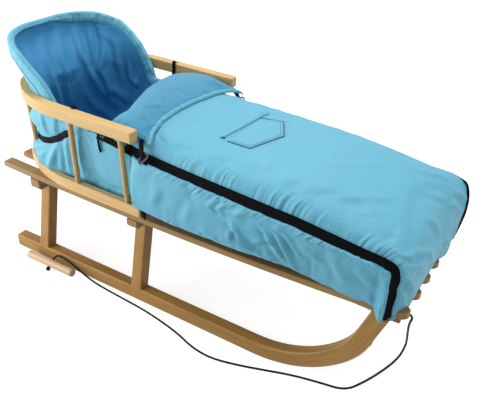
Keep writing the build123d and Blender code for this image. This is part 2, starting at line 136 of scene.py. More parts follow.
def new_material(name, roughness, **shader_values):
    """A material, its tree and its shader, with constant values on the shader's own sockets."""
    material = bpy.data.materials.new(name)
    material.use_nodes = True
    tree = material.node_tree
    shader = tree.nodes["Principled BSDF"]
    shader.inputs["Roughness"].default_value = roughness
    for label, value in shader_values.items():
        shader.inputs[label.replace("_", " ")].default_value = value
    return material, tree, shader


def raise_surface(tree, shader, height, distance, strength=1.0):
    """Feeds a height to the shader's normal."""
    bump = node(tree, "ShaderNodeBump", {"Height": height, "Distance": distance, "Strength": strength})
    tree.links.new(bump.outputs[0], shader.inputs["Normal"])


# %% [markdown]
# ## Light
#
# The studio light is soft and plain: an even surround, a large lamp overhead, one low behind the
# near side that models the folds, and a weak one in front. The surround is white where it is seen
# and weaker where it only gives light, so the lamps can still shape the folds.

# %% Light
LAMPS = [
    # name, place, what it points at, width in metres, watts
    ("key", (-1.15, -0.95, 0.55), (-0.25, 0, 0.3), 1.1, 24),
    ("overhead", (-0.15, 0.35, 2.2), (0.05, 0, 0.2), 1.7, 40),
    ("fill", (1.7, -0.1, 0.9), (0.2, 0, 0.2), 1.2, 9),
]
SURROUND = 0.28


def area_lamp(name, place, target, size, power):
    """A large soft lamp."""
    data = bpy.data.lights.new(name, "AREA")
    data.size = size
    data.energy = power
    lamp = bpy.data.objects.new(name, data)
    lamp.location = place
    lamp.rotation_euler = (Vector(target) - Vector(place)).to_track_quat("-Z", "Y").to_euler()
    scene.collection.objects.link(lamp)


def seen_itself(tree):
    """1 where a thing is seen, also in a reflection or through glass, and 0 where it only gives light."""
    rays = node(tree, "ShaderNodeLightPath").outputs
    seen = math_node(tree, "MAXIMUM", rays["Is Camera Ray"], rays["Is Glossy Ray"])
    return math_node(tree, "MAXIMUM", seen, rays["Is Transmission Ray"])


for lamp in LAMPS:
    area_lamp(*lamp)

world = bpy.data.worlds.new("studio")
scene.world = world
world.use_nodes = True
sky = world.node_tree
strength = math_node(sky, "MULTIPLY_ADD", seen_itself(sky), 1 - SURROUND, SURROUND)
sky.links.new(strength, sky.nodes["Background"].inputs["Strength"])
sky.nodes["Background"].inputs["Color"].default_value = (1, 1, 1, 1)
scene.view_settings.view_transform = "Standard"
print("lamps:", len(LAMPS))

# %% [markdown]
# ## Floor
#
# The floor is white to the camera and still takes a soft shadow. So it is a grey diffuse plane
# with a glow that only counts where the floor is seen, and doesn't light the sled from below.

# %% Floor
FLOOR_SIZE = 8.0
FLOOR_GREY = 0.50
FLOOR_GLOW = 0.80
floor_bm = bmesh.new()
bmesh.ops.create_grid(floor_bm, x_segments=1, y_segments=1, size=FLOOR_SIZE)
floor_mesh = bpy.data.meshes.new("floor")
floor_bm.to_mesh(floor_mesh)
floor_bm.free()
floor = bpy.data.objects.new("floor", floor_mesh)
scene.collection.objects.link(floor)

floor_paint = bpy.data.materials.new("studio_floor")
floor_paint.use_nodes = True
tree = floor_paint.node_tree
tree.nodes.clear()
shaded = node(tree, "ShaderNodeBsdfDiffuse", {"Color": (FLOOR_GREY, FLOOR_GREY, FLOOR_GREY, 1)})
glow_strength = math_node(tree, "MULTIPLY", seen_itself(tree), FLOOR_GLOW)
glow = node(tree, "ShaderNodeEmission", {"Strength": glow_strength})
both = node(tree, "ShaderNodeAddShader", {0: shaded.outputs[0], 1: glow.outputs[0]})
node(tree, "ShaderNodeOutputMaterial", {"Surface": both.outputs[0]})
floor_mesh.materials.append(floor_paint)
print("floor:", 2 * FLOOR_SIZE, "m wide")

# %% [markdown]
# ## Finishes of the wood
#
# Beech is pale, with fine short dark flecks and slow changes of tone along the plank. Three
# noises drawn out along the bar's length give the tone, the streaks and the flecks, and a group
# keeps them together, so that each bar only says which way its grain runs.

# %% Grain
grain, given, out = new_group(
    "beech_grain",
    [("Along", "Vector"), ("Pale", "Color"), ("Dark", "Color")],
    [("Colour", "Color"), ("Height", "Float"), ("Roughness", "Float")],
)


def stretched_noise(tree, vector, stretch, scale, detail, roughness=0.5):
    """Noise drawn out along the bar's length."""
    mapped = node(tree, "ShaderNodeMapping", {"Vector": vector, "Scale": stretch})
    made = node(
        tree,
        "ShaderNodeTexNoise",
        {"Vector": mapped.outputs[0], "Scale": scale, "Detail": detail, "Roughness": roughness},
    )
    return made.outputs["Fac"]


tone = stretched_noise(grain, given["Along"], (1.0, 9.0, 9.0), 7.0, 3.0)
streak = stretched_noise(grain, given["Along"], (1.0, 30.0, 30.0), 12.0, 4.0, 0.6)
fleck = stretched_noise(grain, given["Along"], (1.0, 9.0, 9.0), 120.0, 2.0, 0.6)
tone = math_node(grain, "MULTIPLY_ADD", tone, 1.5, -0.42)
mixed = math_node(grain, "MULTIPLY_ADD", streak, 0.9, tone)
mask = node(grain, "ShaderNodeMapRange", {"Value": mixed, "From Min": 0.25, "From Max": 1.15})
flecks = node(grain, "ShaderNodeMapRange", {"Value": fleck, "From Min": 0.60, "From Max": 0.74})
plain = colour_mix(grain, mask.outputs[0], given["Pale"], given["Dark"])
flecked = colour_mix(
    grain, math_node(grain, "MULTIPLY", flecks.outputs[0], 0.45), plain, given["Dark"], "MULTIPLY"
)
rough = math_node(grain, "MULTIPLY_ADD", mask.outputs[0], 0.12, 0.42)
height = math_node(grain, "MULTIPLY_ADD", flecks.outputs[0], -0.5, streak)
send(grain, out, Colour=flecked, Height=height, Roughness=rough)

print("grain group has", len(grain.nodes), "nodes")

# %% [markdown]
# ### Round a bend
#
# A bent bar was straight when it was cut, so its pattern is unrolled: beyond the start of the
# bend, the length becomes the arc and the depth becomes the distance from the bend's centre.

# %% Unrolled bend
unroll, given, out = new_group(
    "unrolled_bend",
    [("Length", "Float"), ("Depth", "Float"), ("Side", "Float"), ("Start", "Float"), ("Radius", "Float")],
    [("Along", "Vector")],
)
past = math_node(unroll, "SUBTRACT", given["Length"], given["Start"])
inward = math_node(unroll, "SUBTRACT", given["Radius"], given["Depth"])
bent = math_node(unroll, "GREATER_THAN", past, 0.0)
angle = math_node(unroll, "ARCTAN2", past, inward)
arc = math_node(unroll, "MULTIPLY_ADD", angle, given["Radius"], given["Start"])
squares = math_node(
    unroll, "ADD", math_node(unroll, "MULTIPLY", past, past), math_node(unroll, "MULTIPLY", inward, inward)
)
depth_bent = math_node(unroll, "SUBTRACT", given["Radius"], math_node(unroll, "SQRT", squares))
longer = math_node(unroll, "SUBTRACT", arc, given["Length"])
deeper = math_node(unroll, "SUBTRACT", depth_bent, given["Depth"])
along = math_node(unroll, "MULTIPLY_ADD", bent, longer, given["Length"])
depth = math_node(unroll, "MULTIPLY_ADD", bent, deeper, given["Depth"])
joined = node(unroll, "ShaderNodeCombineXYZ", {"X": along, "Y": given["Side"], "Z": depth})
send(unroll, out, Along=joined.outputs[0])
print("bend group has", len(unroll.nodes), "nodes")

# %% [markdown]
# ### One wood finish for each way a bar runs
#
# The same grain is laid along X on slats, along Y on crossbars, along Z on legs and spindles, and
# round the bend on runners and hoops. Each kind of bar also has its own pale and dark tone. The
# tones are lit and shaded copies of one beech: painted shade darkens the slats, crossbars and legs,
# and painted light brightens the hoops.

# %% Wood finishes
def beech(name, tones, turn=(0, 0, 0), shift=(0, 0, 0), bend=None):
    """A beech finish in a pale and a dark tone, whose grain runs along X before turn, or round a bend."""
    material, tree, shader = new_material(
        name, 0.45, Coat_Weight=0.06, Coat_Roughness=0.35, Specular_IOR_Level=0.3
    )
    place = node(tree, "ShaderNodeTexCoord").outputs["Object"]
    if bend:
        axis_depth, sign, start, radius = bend
        split = node(tree, "ShaderNodeSeparateXYZ", {0: place}).outputs
        rolled = node(tree, "ShaderNodeGroup", node_tree=unroll)
        side = "Z" if axis_depth == "Y" else "Y"
        lengthwise = math_node(tree, "MULTIPLY", split["X"], sign)
        tree.links.new(lengthwise, rolled.inputs["Length"])
        tree.links.new(split[axis_depth], rolled.inputs["Depth"])
        tree.links.new(split[side], rolled.inputs["Side"])
        rolled.inputs["Start"].default_value = start
        rolled.inputs["Radius"].default_value = radius
        vector = rolled.outputs["Along"]
    else:
        vector = node(
            tree, "ShaderNodeMapping", {"Vector": place, "Rotation": turn, "Location": shift}
        ).outputs[0]
    wood = node(tree, "ShaderNodeGroup", node_tree=grain)
    tree.links.new(vector, wood.inputs["Along"])
    wood.inputs["Pale"].default_value, wood.inputs["Dark"].default_value = tones
    tree.links.new(wood.outputs["Colour"], shader.inputs["Base Color"])
    tree.links.new(wood.outputs["Roughness"], shader.inputs["Roughness"])
    raise_surface(tree, shader, wood.outputs["Height"], 0.0004, 0.5)
    return material


QUARTER = math.pi / 2
# Painted light and shade: one beech, made darker or lighter for how light falls on each bar.
SLAT_BEECH_SHADED = (0.310, 0.190, 0.070, 1), (0.230, 0.130, 0.040, 1)
RUNNER_BEECH = (0.400, 0.225, 0.052, 1), (0.270, 0.135, 0.028, 1)
HOOP_BEECH_LIT = (0.670, 0.465, 0.210, 1), (0.540, 0.345, 0.130, 1)
LEG_BEECH_SHADED = (0.390, 0.218, 0.056, 1), (0.285, 0.148, 0.033, 1)
SPINDLE_BEECH = (0.560, 0.370, 0.150, 1), (0.440, 0.265, 0.090, 1)
HANDLE_BEECH = (0.600, 0.430, 0.270, 1), (0.440, 0.290, 0.160, 1)

wood_slat = beech("beech_slat", SLAT_BEECH_SHADED)
wood_runner = beech("beech_runner", RUNNER_BEECH, bend=("Z", 1.0, 0.185, 0.250))
wood_hoop = beech("beech_hoop", HOOP_BEECH_LIT, bend=("Y", -1.0, 0.250, 0.0))
wood_bar = beech("beech_crossbar", SLAT_BEECH_SHADED, turn=(0, 0, QUARTER), shift=(0.3, 0.1, 0.2))
wood_leg = beech("beech_leg", LEG_BEECH_SHADED, turn=(0, QUARTER, 0), shift=(0.7, 0.2, 0.1))
wood_turned = beech("beech_spindle", SPINDLE_BEECH, turn=(0, QUARTER, 0), shift=(1.1, 0.4, 0.3))
wood_handle = beech("beech_handle", HANDLE_BEECH, shift=(2.0, 1.0, 0.5))
WOOD_FOR = [
    ("slat_", wood_slat),
    ("runner_shoe", None),
    ("runner_", wood_runner),
    ("backrest_", wood_hoop),
    ("crossbar_", wood_bar),
    ("front_bar", wood_bar),
    ("leg_", wood_leg),
    ("spindle_", wood_turned),
    ("tow_handle", wood_handle),
]


def give_finish(piece, *materials):
    """Replaces a piece's materials."""
    piece.data.materials.clear()
    for material in materials:
        piece.data.materials.append(material)


finished = 0
for name, piece in nodes.items():
    for start, material in WOOD_FOR:
        if name.startswith(start):
            if material:
                give_finish(piece, material)
                finished += 1
            break
print("wood on", finished, "nodes")

# %% [markdown]
# ### Metal
#
# The shoes under the runners are bright steel strip, dulled by fine scratches along their length.
# The rings and the sliders of the zips are blackened metal, with the same scratches.

# %% Metal finishes
DULL_GREY = (0.25, 0.24, 0.23, 1)
metal, given, out = new_group(
    "scratched_metal",
    [("Vector", "Vector"), ("Base", "Color")],
    [("Colour", "Color"), ("Height", "Float"), ("Roughness", "Float")],
)
lines = stretched_noise(metal, given["Vector"], (1.0, 60.0, 60.0), 40.0, 3.0)
cloud = stretched_noise(metal, given["Vector"], (1.0, 1.0, 1.0), 30.0, 3.0)
send(
    metal,
    out,
    Colour=colour_mix(metal, math_node(metal, "MULTIPLY", cloud, 0.4), given["Base"], DULL_GREY),
    Height=lines,
    Roughness=math_node(metal, "MULTIPLY_ADD", cloud, 0.3, 0.2),
)


def metal_finish(name, colour):
    """A dulled metal."""
    material, tree, shader = new_material(name, 0.35, Metallic=1.0)
    place = node(tree, "ShaderNodeTexCoord").outputs["Object"]
    worn = node(tree, "ShaderNodeGroup", node_tree=metal)
    tree.links.new(place, worn.inputs["Vector"])
    worn.inputs["Base"].default_value = colour
    tree.links.new(worn.outputs["Colour"], shader.inputs["Base Color"])
    tree.links.new(worn.outputs["Roughness"], shader.inputs["Roughness"])
    raise_surface(tree, shader, worn.outputs["Height"], 0.0001, 0.4)
    return material


steel = metal_finish("shoe_steel", (0.60, 0.59, 0.57, 1))
dark_metal = metal_finish("dark_metal", (0.03, 0.03, 0.03, 1))
for side in ("right", "left"):
    give_finish(nodes["runner_shoe_" + side], steel)
print("steel on both shoes")

# %% [markdown]
# ### Woven cloth
#
# Shell, lining, webbing, tape and cord are all woven, and differ in their threads. Two crossing
# waves make the threads, a fine noise makes the fuzz and a broad one the uneven tone. They are one
# group, so that each cloth only gives its own values.

# %% Weave
DEEP_SHADE = (0.02, 0.05, 0.09, 1)
# THREAD_SHINE is a painted highlight, mixed into the colour on the threads' crowns.
THREAD_SHINE = (0.9, 0.95, 1.0, 1)
weave, given, out = new_group(
    "weave",
    [
        ("Vector", "Vector"),
        ("Base", "Color"),
        ("Threads", "Float"),
        ("Depth of Colour", "Float"),
        ("Shine", "Float"),
    ],
    [("Colour", "Color"), ("Height", "Float"), ("Roughness", "Float")],
)
parts = node(weave, "ShaderNodeSeparateXYZ", {0: given["Vector"]}).outputs
warp = math_node(weave, "MULTIPLY_ADD", parts["Z"], 0.5, parts["X"])
weft = math_node(weave, "ADD", parts["Y"], parts["Z"])
wave_a = math_node(weave, "SINE", math_node(weave, "MULTIPLY", warp, given["Threads"]))
wave_b = math_node(weave, "SINE", math_node(weave, "MULTIPLY", weft, given["Threads"]))
threads = math_node(weave, "MULTIPLY_ADD", wave_a, wave_b, 1.0)
threads = math_node(weave, "MULTIPLY", threads, 0.5)
slub = stretched_noise(weave, given["Vector"], (1.0, 1.0, 1.0), 9.0, 3.0)
fuzz = stretched_noise(weave, given["Vector"], (1.0, 1.0, 1.0), 380.0, 2.0)
worn = math_node(weave, "MULTIPLY_ADD", slub, 0.6, math_node(weave, "MULTIPLY", fuzz, 0.5))
shade = math_node(weave, "MULTIPLY", math_node(weave, "SUBTRACT", worn, 0.3), given["Depth of Colour"])
darker = colour_mix(weave, shade, given["Base"], DEEP_SHADE)
lit = math_node(weave, "MULTIPLY", threads, given["Shine"])
send(
    weave,
    out,
    Colour=colour_mix(weave, lit, darker, THREAD_SHINE),
    Height=math_node(weave, "MULTIPLY_ADD", fuzz, 0.6, threads),
    Roughness=math_node(weave, "MULTIPLY_ADD", slub, 0.2, 0.55),
)
print("weave group has", len(weave.nodes), "nodes")

# %% [markdown]
# ### Puckers
#
# A seam gathers padded cloth into small folds that stand across it. They are too fine for the
# mesh, so they are a bump: a noise that changes only along the seam, faded out away from it and
# bunched here and there. Each sheet stores both distances at its points, and the group reads them.

# %% Puckers
puckers, given, out = new_group(
    "puckers", [("Run", "Float"), ("Near", "Float"), ("Vector", "Vector")], [("Height", "Float")]
)
gather = node(
    puckers,
    "ShaderNodeTexNoise",
    {"W": given["Run"], "Scale": 85.0, "Detail": 2.0, "Roughness": 0.55},
    noise_dimensions="1D",
)
broad = stretched_noise(puckers, given["Vector"], (1.0, 0.6, 1.0), 22.0, 3.0, 0.6)
bunch = node(
    puckers, "ShaderNodeTexNoise", {"W": given["Run"], "Scale": 14.0, "Detail": 1.0}, noise_dimensions="1D"
)
bunch = node(
    puckers, "ShaderNodeMapRange", {"Value": bunch.outputs["Fac"], "From Min": 0.35, "From Max": 0.6}
).outputs[0]
gather = math_node(puckers, "SUBTRACT", gather.outputs["Fac"], 0.5)
gather = math_node(puckers, "MULTIPLY", gather, given["Near"])
gather = math_node(puckers, "MULTIPLY", gather, math_node(puckers, "MULTIPLY_ADD", bunch, 1.3, 0.2))
send(puckers, out, Height=math_node(puckers, "MULTIPLY_ADD", broad, 0.55, gather))
print("pucker group has", len(puckers.nodes), "nodes")

# %% [markdown]
# ### Cloths of the muff, and black goods
#
# The shell is a smooth turquoise weave, the lining a coarser deep blue one and the fleece a fuzzy
# blue. Tape, webbing and cord are a dull black that hardly reflects the studio.

# %% Cloths
def cloth_finish(name, colour, threads, depth, relief, bump=0.5, pucker=0.0, **shader_values):
    """A woven finish: its threads per metre times two pi, its tone's change and its relief in metres."""
    material, tree, shader = new_material(name, 0.7, **shader_values)
    place = node(tree, "ShaderNodeTexCoord").outputs["Object"]
    woven = node(tree, "ShaderNodeGroup", node_tree=weave)
    tree.links.new(place, woven.inputs["Vector"])
    woven.inputs["Base"].default_value = colour
    woven.inputs["Threads"].default_value = threads
    woven.inputs["Depth of Colour"].default_value = depth
    # Shine is the painted highlight on the threads, left off the black goods.
    woven.inputs["Shine"].default_value = 0.02 if max(colour[:3]) > 0.05 else 0.0
    tree.links.new(woven.outputs["Colour"], shader.inputs["Base Color"])
    tree.links.new(woven.outputs["Roughness"], shader.inputs["Roughness"])
    raise_surface(tree, shader, woven.outputs["Height"], relief, bump)
    if pucker:
        run = node(tree, "ShaderNodeAttribute", attribute_name="run").outputs["Fac"]
        near = node(tree, "ShaderNodeAttribute", attribute_name="near").outputs["Fac"]
        gathered = node(tree, "ShaderNodeGroup", node_tree=puckers)
        for label, socket in (("Run", run), ("Near", near), ("Vector", place)):
            tree.links.new(socket, gathered.inputs[label])
        fine = shader.inputs["Normal"].links[0].from_node
        broad = node(tree, "ShaderNodeBump", {"Height": gathered.outputs["Height"], "Distance": pucker})
        tree.links.new(broad.outputs[0], fine.inputs["Normal"])
    return material


shell_cloth = cloth_finish(
    "muff_shell",
    (0.074, 0.375, 0.520, 1),
    threads=7200,
    depth=0.20,
    relief=0.00012,
    pucker=0.006,
    Sheen_Weight=0.10,
    Specular_IOR_Level=0.8,
)
lining_cloth = cloth_finish(
    "muff_lining",
    (0.012, 0.232, 0.490, 1),
    threads=4200,
    depth=0.4,
    relief=0.0004,
    pucker=0.004,
    Sheen_Weight=0.10,
)
fleece = cloth_finish(
    "muff_fleece",
    (0.022, 0.275, 0.455, 1),
    threads=1700,
    depth=0.30,
    relief=0.0012,
    bump=0.7,
    Sheen_Weight=0.25,
)
TAPE_BLACK, WEBBING_BLACK, CORD_BLACK = (
    (0.0035, 0.0025, 0.0030, 1), (0.0035, 0.0035, 0.0040, 1), (0.006, 0.006, 0.007, 1)
)
black_tape = cloth_finish("zip_tape", TAPE_BLACK, 5200, 0.1, 0.0002, Specular_IOR_Level=0.04)
black_webbing = cloth_finish("webbing", WEBBING_BLACK, 3600, 0.1, 0.0004, Specular_IOR_Level=0.05)
black_braid = cloth_finish("cord_braid", CORD_BLACK, 3000, 0.1, 0.0004, Specular_IOR_Level=0.10)
thread = cloth_finish("thread", (0.045, 0.200, 0.290, 1), 9000, 0.1, 0.0001)
seam_shadow = cloth_finish("thread_shadow", (0.020, 0.100, 0.160, 1), 9000, 0.1, 0.0001)
print("cloth finishes ready")

# %% [markdown]
# ## The tow cord
#
# A thin black braided cord runs from the knot under the wooden handle, through the handle, over
# the floor beside the right runner, under the runner's bend and up to the front bar. It passes
# through the bar, behind it, and out of its other hole, where a knot stops it. A smooth curve that
# follows a few points lies as a limp cord does, and its bevel gives it its thickness.

# %% Tow cord
CORD_RADIUS = 0.002
CORD_POINTS_MM = [
    (-318.5, -171.01, 8.29),
    (-318.5, -150.15, 29.15),
    (-292, -150, 31),
    (-254, -150.8, 20),
    (-210, -152.5, 4),
    (-160, -155.5, 2.2),
    (-108, -158.5, 2.2),
    (-60, -161.5, 2.2),
    (-8, -169, 2.2),
    (40, -179, 2.2),
    (85, -194, 2.2),
    (130, -197, 2.2),
    (180, -184, 2.2),
    (225, -168.5, 2.2),
    (275, -150.5, 2.2),
    (325, -139, 2.2),
    (370, -131, 2.2),
    (391, -95, 2.2),
    (410, -50, 2.2),
    (424, -2, 2.2),
    (430, 6, 34),
    (434, -22, 76),
    (438, -50, 117),
    (443, -80, 158),
    (452, -100.5, 196.55),
    (394, -100.5, 196.55),
    (393, -55, 184.55),
    (393, 0, 179.55),
    (393, 55, 184.55),
    (394, 100.5, 196.55),
    (436, 100.5, 196.55),
]
cord_curve = bpy.data.curves.new("tow_cord_line", "CURVE")
cord_curve.dimensions = "3D"
cord_curve.bevel_depth = CORD_RADIUS
cord_curve.bevel_resolution = 4
cord_curve.resolution_u = 10
cord_curve.use_fill_caps = True
spline = cord_curve.splines.new("NURBS")
spline.points.add(len(CORD_POINTS_MM) - 1)
for point, place in zip(spline.points, reversed(CORD_POINTS_MM)):
    point.co = (*(c / 1000 for c in place), 1.0)
spline.order_u = 3
spline.use_endpoint_u = True
cord_curve.materials.append(black_braid)
tow_cord = bpy.data.objects.new("black_tow_cord", cord_curve)
scene.collection.objects.link(tow_cord)
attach(tow_cord, "root")
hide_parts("tow_cord")
for name in ("handle_knot", "bar_knot"):
    give_finish(nodes[name], black_braid)
print("cord has", len(CORD_POINTS_MM), "points")

# %% [markdown]
# ## Helpers for the soft pieces
#
# Each panel of the muff starts as a flat grid that is laid into its place by a function of two
# numbers, u along the panel and v across it. The grid remembers both at each point, so that folds
# and puckers can be placed on it later.

# %% Grids
def laid_grid(columns, rows, place):
    """A grid put where place(u, v) says, which remembers u and v at each point."""
    bm = bmesh.new()
    bmesh.ops.create_grid(bm, x_segments=columns, y_segments=rows, size=1.0)
    layer_u = bm.verts.layers.float.new("u")
    layer_v = bm.verts.layers.float.new("v")
    low = min(v.co.x for v in bm.verts)
    for v in bm.verts:
        v[layer_u] = (v.co.x - low) / (-2 * low)
        v[layer_v] = (v.co.y - low) / (-2 * low)
        v.co = place(v[layer_u], v[layer_v])
    return bm


def face_out(bm, outward):
    """Turns an open sheet's faces so that they look along outward(centre)."""
    bm.normal_update()
    agree = sum(f.normal.dot(outward(f.calc_center_median())) for f in bm.faces)
    if agree < 0:
        bmesh.ops.reverse_faces(bm, faces=bm.faces[:])
        bm.normal_update()
    return bm


def smooth_step(value, low, high):
    """0 below low, 1 above high and smooth between."""
    t = min(max((value - low) / (high - low), 0.0), 1.0)
    return t * t * (3 - 2 * t)


def between(x, table):
    """Straight reading of a table of (x, value) rows."""
    return float(np.interp(x, [row[0] for row in table], [row[1] for row in table]))


def along_table(table, u):
    """Values read between a table's rows at u, smoothly, with u from 0 to 1."""
    rows = len(table) - 1
    at = min(max(u, 0.0), 1.0) * rows
    k = min(int(at), rows - 1)
    t = at - k
    p0, p1, p2, p3 = (table[min(max(k + i, 0), rows)] for i in (-1, 0, 1, 2))
    return [
        b + 0.5 * t * (c - a + t * (2 * a - 5 * b + 4 * c - d + t * (3 * (b - c) + d - a)))
        for a, b, c, d in zip(p0, p1, p2, p3)
    ]


# %% [markdown]
# ### Folds
#
# The few deep folds that the fabric shows are where its seams pull, so they are listed one by one. A
# fold is a soft ridge along a broken line, with a shallower valley beside it. It is pressed into
# the sheet along the sheet's own normals.

# %% Folds
def fold_height(a, b, folds):
    """Height of a set of folds at (a, b). Each is a ridge along a broken line with a valley beside it."""
    total = 0.0
    for height, width, *line in folds:
        steps = [math.dist(p, q) for p, q in zip(line, line[1:])]
        nearest, off, share, walked = 1e9, 0.0, 0.0, 0.0
        for (a1, b1), (a2, b2), step in zip(line, line[1:], steps):
            t = ((a - a1) * (a2 - a1) + (b - b1) * (b2 - b1)) / step**2
            t = min(max(t, 0.0), 1.0)
            away = math.hypot(a - a1 - t * (a2 - a1), b - b1 - t * (b2 - b1))
            if away < nearest:
                left = (a - a1) * (b2 - b1) - (b - b1) * (a2 - a1)
                nearest, off, share = away, math.copysign(away, left), (walked + t * step) / sum(steps)
            walked += step
        if nearest < 4 * width:
            off /= width
            fade = 1 - abs(2 * share - 1) ** 3
            total += height * fade * (math.exp(-off * off) - 0.6 * math.exp(-((off - 1.6) ** 2)))
    return total


def press_folds(piece, where, folds, deepest=9.0):
    """Moves a sheet's points out by its folds. where(u, v) gives the folds' own two coordinates in mm."""
    mesh = piece.data
    for vertex, normal in zip(mesh.vertices, [v.normal.copy() for v in mesh.vertices]):
        u, v = (mesh.attributes[label].data[vertex.index].value for label in "uv")
        vertex.co += normal * (max(fold_height(*where(u, v), folds), -deepest) / 1000)
    mesh.update()


def mark_puckers(bm, reading):
    """Stores, for the finish, how far along a seam each point is and how near to it."""
    run, near = bm.verts.layers.float.new("run"), bm.verts.layers.float.new("near")
    layer_u, layer_v = bm.verts.layers.float["u"], bm.verts.layers.float["v"]
    for v in bm.verts:
        v[run], v[near] = reading(v[layer_u], v[layer_v])


# %% [markdown]
# ### Pieces and cloth simulation
#
# Real padding pushes the fabric out and its seams hold it back. So each panel's border is pinned,
# the fabric is made a little larger than its place, and a gentle pressure lets it billow and
# wrinkle. The result is applied, and how far a point may move is capped, with less near the seams.

# %% Pieces and cloth
def new_piece(name, bm, slot, *materials):
    """Makes a piece that rides on the sled from a bmesh."""
    mesh = bpy.data.meshes.new(name)
    bm.to_mesh(mesh)
    bm.free()
    mesh.shade_smooth()
    piece = bpy.data.objects.new(name, mesh)
    scene.collection.objects.link(piece)
    for material in materials:
        mesh.materials.append(material)
    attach(piece, "root")
    return piece


def coordinates(mesh):
    """A mesh's points as an array."""
    flat = np.empty(len(mesh.vertices) * 3, np.float32)
    mesh.vertices.foreach_get("co", flat)
    return flat.reshape(-1, 3)


def steps_from_border(mesh, steps):
    """For each point of an open sheet, how many edges it is from the border, at most steps."""
    bm = bmesh.new()
    bm.from_mesh(mesh)
    far = np.full(len(bm.verts), steps)
    ring = [v for v in bm.verts if v.is_boundary]
    for k in range(steps):
        for v in ring:
            far[v.index] = min(far[v.index], k)
        ring = {w for v in ring for e in v.link_edges for w in e.verts if far[w.index] > k}
    bm.free()
    return far


CLOTH_STEPS = 6
CLOTH_MASS = 0.2
CLOTH_STRETCH = 12
CLOTH_SHEAR = 4
CLOTH_DAMPING = 2.0


def billow(piece, pressure=2.0, spare=0.05, cap=0.006, frames=20, bending=0.15, ease=4, sink=0.0015):
    """Cloth simulation with the border pinned.

    spare is the fabric's extra size, cap and sink are its longest moves out and in, in metres, and
    ease is how many rows from the border it may move freely.
    """
    mesh = piece.data
    before = coordinates(mesh)
    far = steps_from_border(mesh, ease)
    seams = piece.vertex_groups.new(name="seams")
    seams.add([int(i) for i in np.flatnonzero(far == 0)], 1.0, "REPLACE")
    modifier = piece.modifiers.new("cloth", "CLOTH")
    cloth = modifier.settings
    cloth.quality = CLOTH_STEPS
    cloth.mass = CLOTH_MASS
    cloth.tension_stiffness = CLOTH_STRETCH
    cloth.compression_stiffness = CLOTH_STRETCH
    cloth.shear_stiffness = CLOTH_SHEAR
    cloth.bending_stiffness = bending
    cloth.air_damping = CLOTH_DAMPING
    cloth.shrink_min = -spare
    cloth.vertex_group_mass = "seams"
    cloth.use_pressure = True
    cloth.uniform_pressure_force = pressure
    cloth.effector_weights.gravity = 0.0
    modifier.point_cache.frame_start = 1
    modifier.point_cache.frame_end = frames
    for frame_number in range(1, frames + 1):
        scene.frame_set(frame_number)
    shaped = piece.evaluated_get(bpy.context.evaluated_depsgraph_get())
    after = coordinates(shaped.data)
    piece.modifiers.remove(modifier)
    move = after - before
    length = np.linalg.norm(move, axis=1, keepdims=True)
    limit = cap * (far[:, None] / ease) ** 0.7
    move *= limit / (limit + length + 1e-9)
    normals = np.array([tuple(v.normal) for v in mesh.vertices])
    rise = (move * normals).sum(axis=1, keepdims=True)
    move += normals * (np.maximum(rise, -sink) - rise)
    mesh.vertices.foreach_set("co", (before + move).astype(np.float32).ravel())
    mesh.update()
    scene.frame_set(1)
    print(piece.name, "moved", round(float(length.max()) * 1000, 1), "mm at most, mean",
          round(float(length.mean()) * 1000, 1))


def thicken(piece, thickness, offset=-1.0, inner=0, subdivide=1):
    """Gives a sheet its wall, whose inner face has the material at inner, and its subdivision."""
    solid = piece.modifiers.new("wall", "SOLIDIFY")
    solid.thickness = thickness
    solid.offset = offset
    solid.material_offset = inner
    if subdivide:
        smooth = piece.modifiers.new("smooth", "SUBSURF")
        smooth.levels = subdivide
        smooth.render_levels = subdivide


# %% [markdown]
# ## The line of the zips
#
# A black zip runs along each side of the leg bag and down its front corner. It lies on the
# bag's edge, so it faces outward and a little upward, and its rear tail lies on the wall inside
# the spindles. The far corner sits further forward than the near one, because the bag is laid on
# the sled by hand. The cover and the side panels both end under the zip's tape, so its line is
# settled first, in rows that run from the collar to the front.

# %% Zip line
BAG_EDGE = 149.0
TAIL_OUT = 6.0
TAIL_TILT, EDGE_TILT = 18, 32
CORNER_ROW = 12
COVER_ROWS = [
    # right edge x, z, left edge x, z, middle x, z, in millimetres, and how square the shoulder is
    (-108, 358, -108, 358, -108, 381, 6.0),
    (-78, 353.5, -78, 353.5, -78, 383, 6.0),
    (-48, 350, -48, 350, -48, 384, 6.0),
    (0, 344, 0, 345, 0, 382, 6.0),
    (55, 339, 55, 340, 55, 381, 6.0),
    (105, 335, 106, 337, 105, 380, 6.0),
    (155, 331, 158, 334, 156, 379, 6.0),
    (205, 327, 212, 331, 207, 377, 5.5),
    (255, 323.5, 266, 328, 258, 373, 5.0),
    (305, 317.5, 320, 325, 309, 366, 4.5),
    (350, 312, 368, 322, 356, 356, 4.0),
    (385, 308, 408, 320, 394, 345, 3.6),
    (406, 307, 430, 319, 420, 333, 3.4),
    (418.5, 300, 442, 313, 435, 317, 3.4),
    (422.5, 283, 448, 292, 442, 294, 3.4),
    (422, 257, 449, 266, 445, 267, 3.4),
    (421, 230, 446, 240, 445, 241, 3.4),
    (420, 203, 440, 206, 443, 219, 3.4),
]
WALL_LEAN = [(205, 114.5), (240, 116.5), (378, 145.0)]
ZIP_TAIL = [(-158, 362)]


def zip_line(side):
    """The zip's middle line on one side: a tail on the wall, then the bag's edge."""
    first = 0 if side < 0 else 2
    return ZIP_TAIL + [(row[first], row[first + 1]) for row in COVER_ROWS]


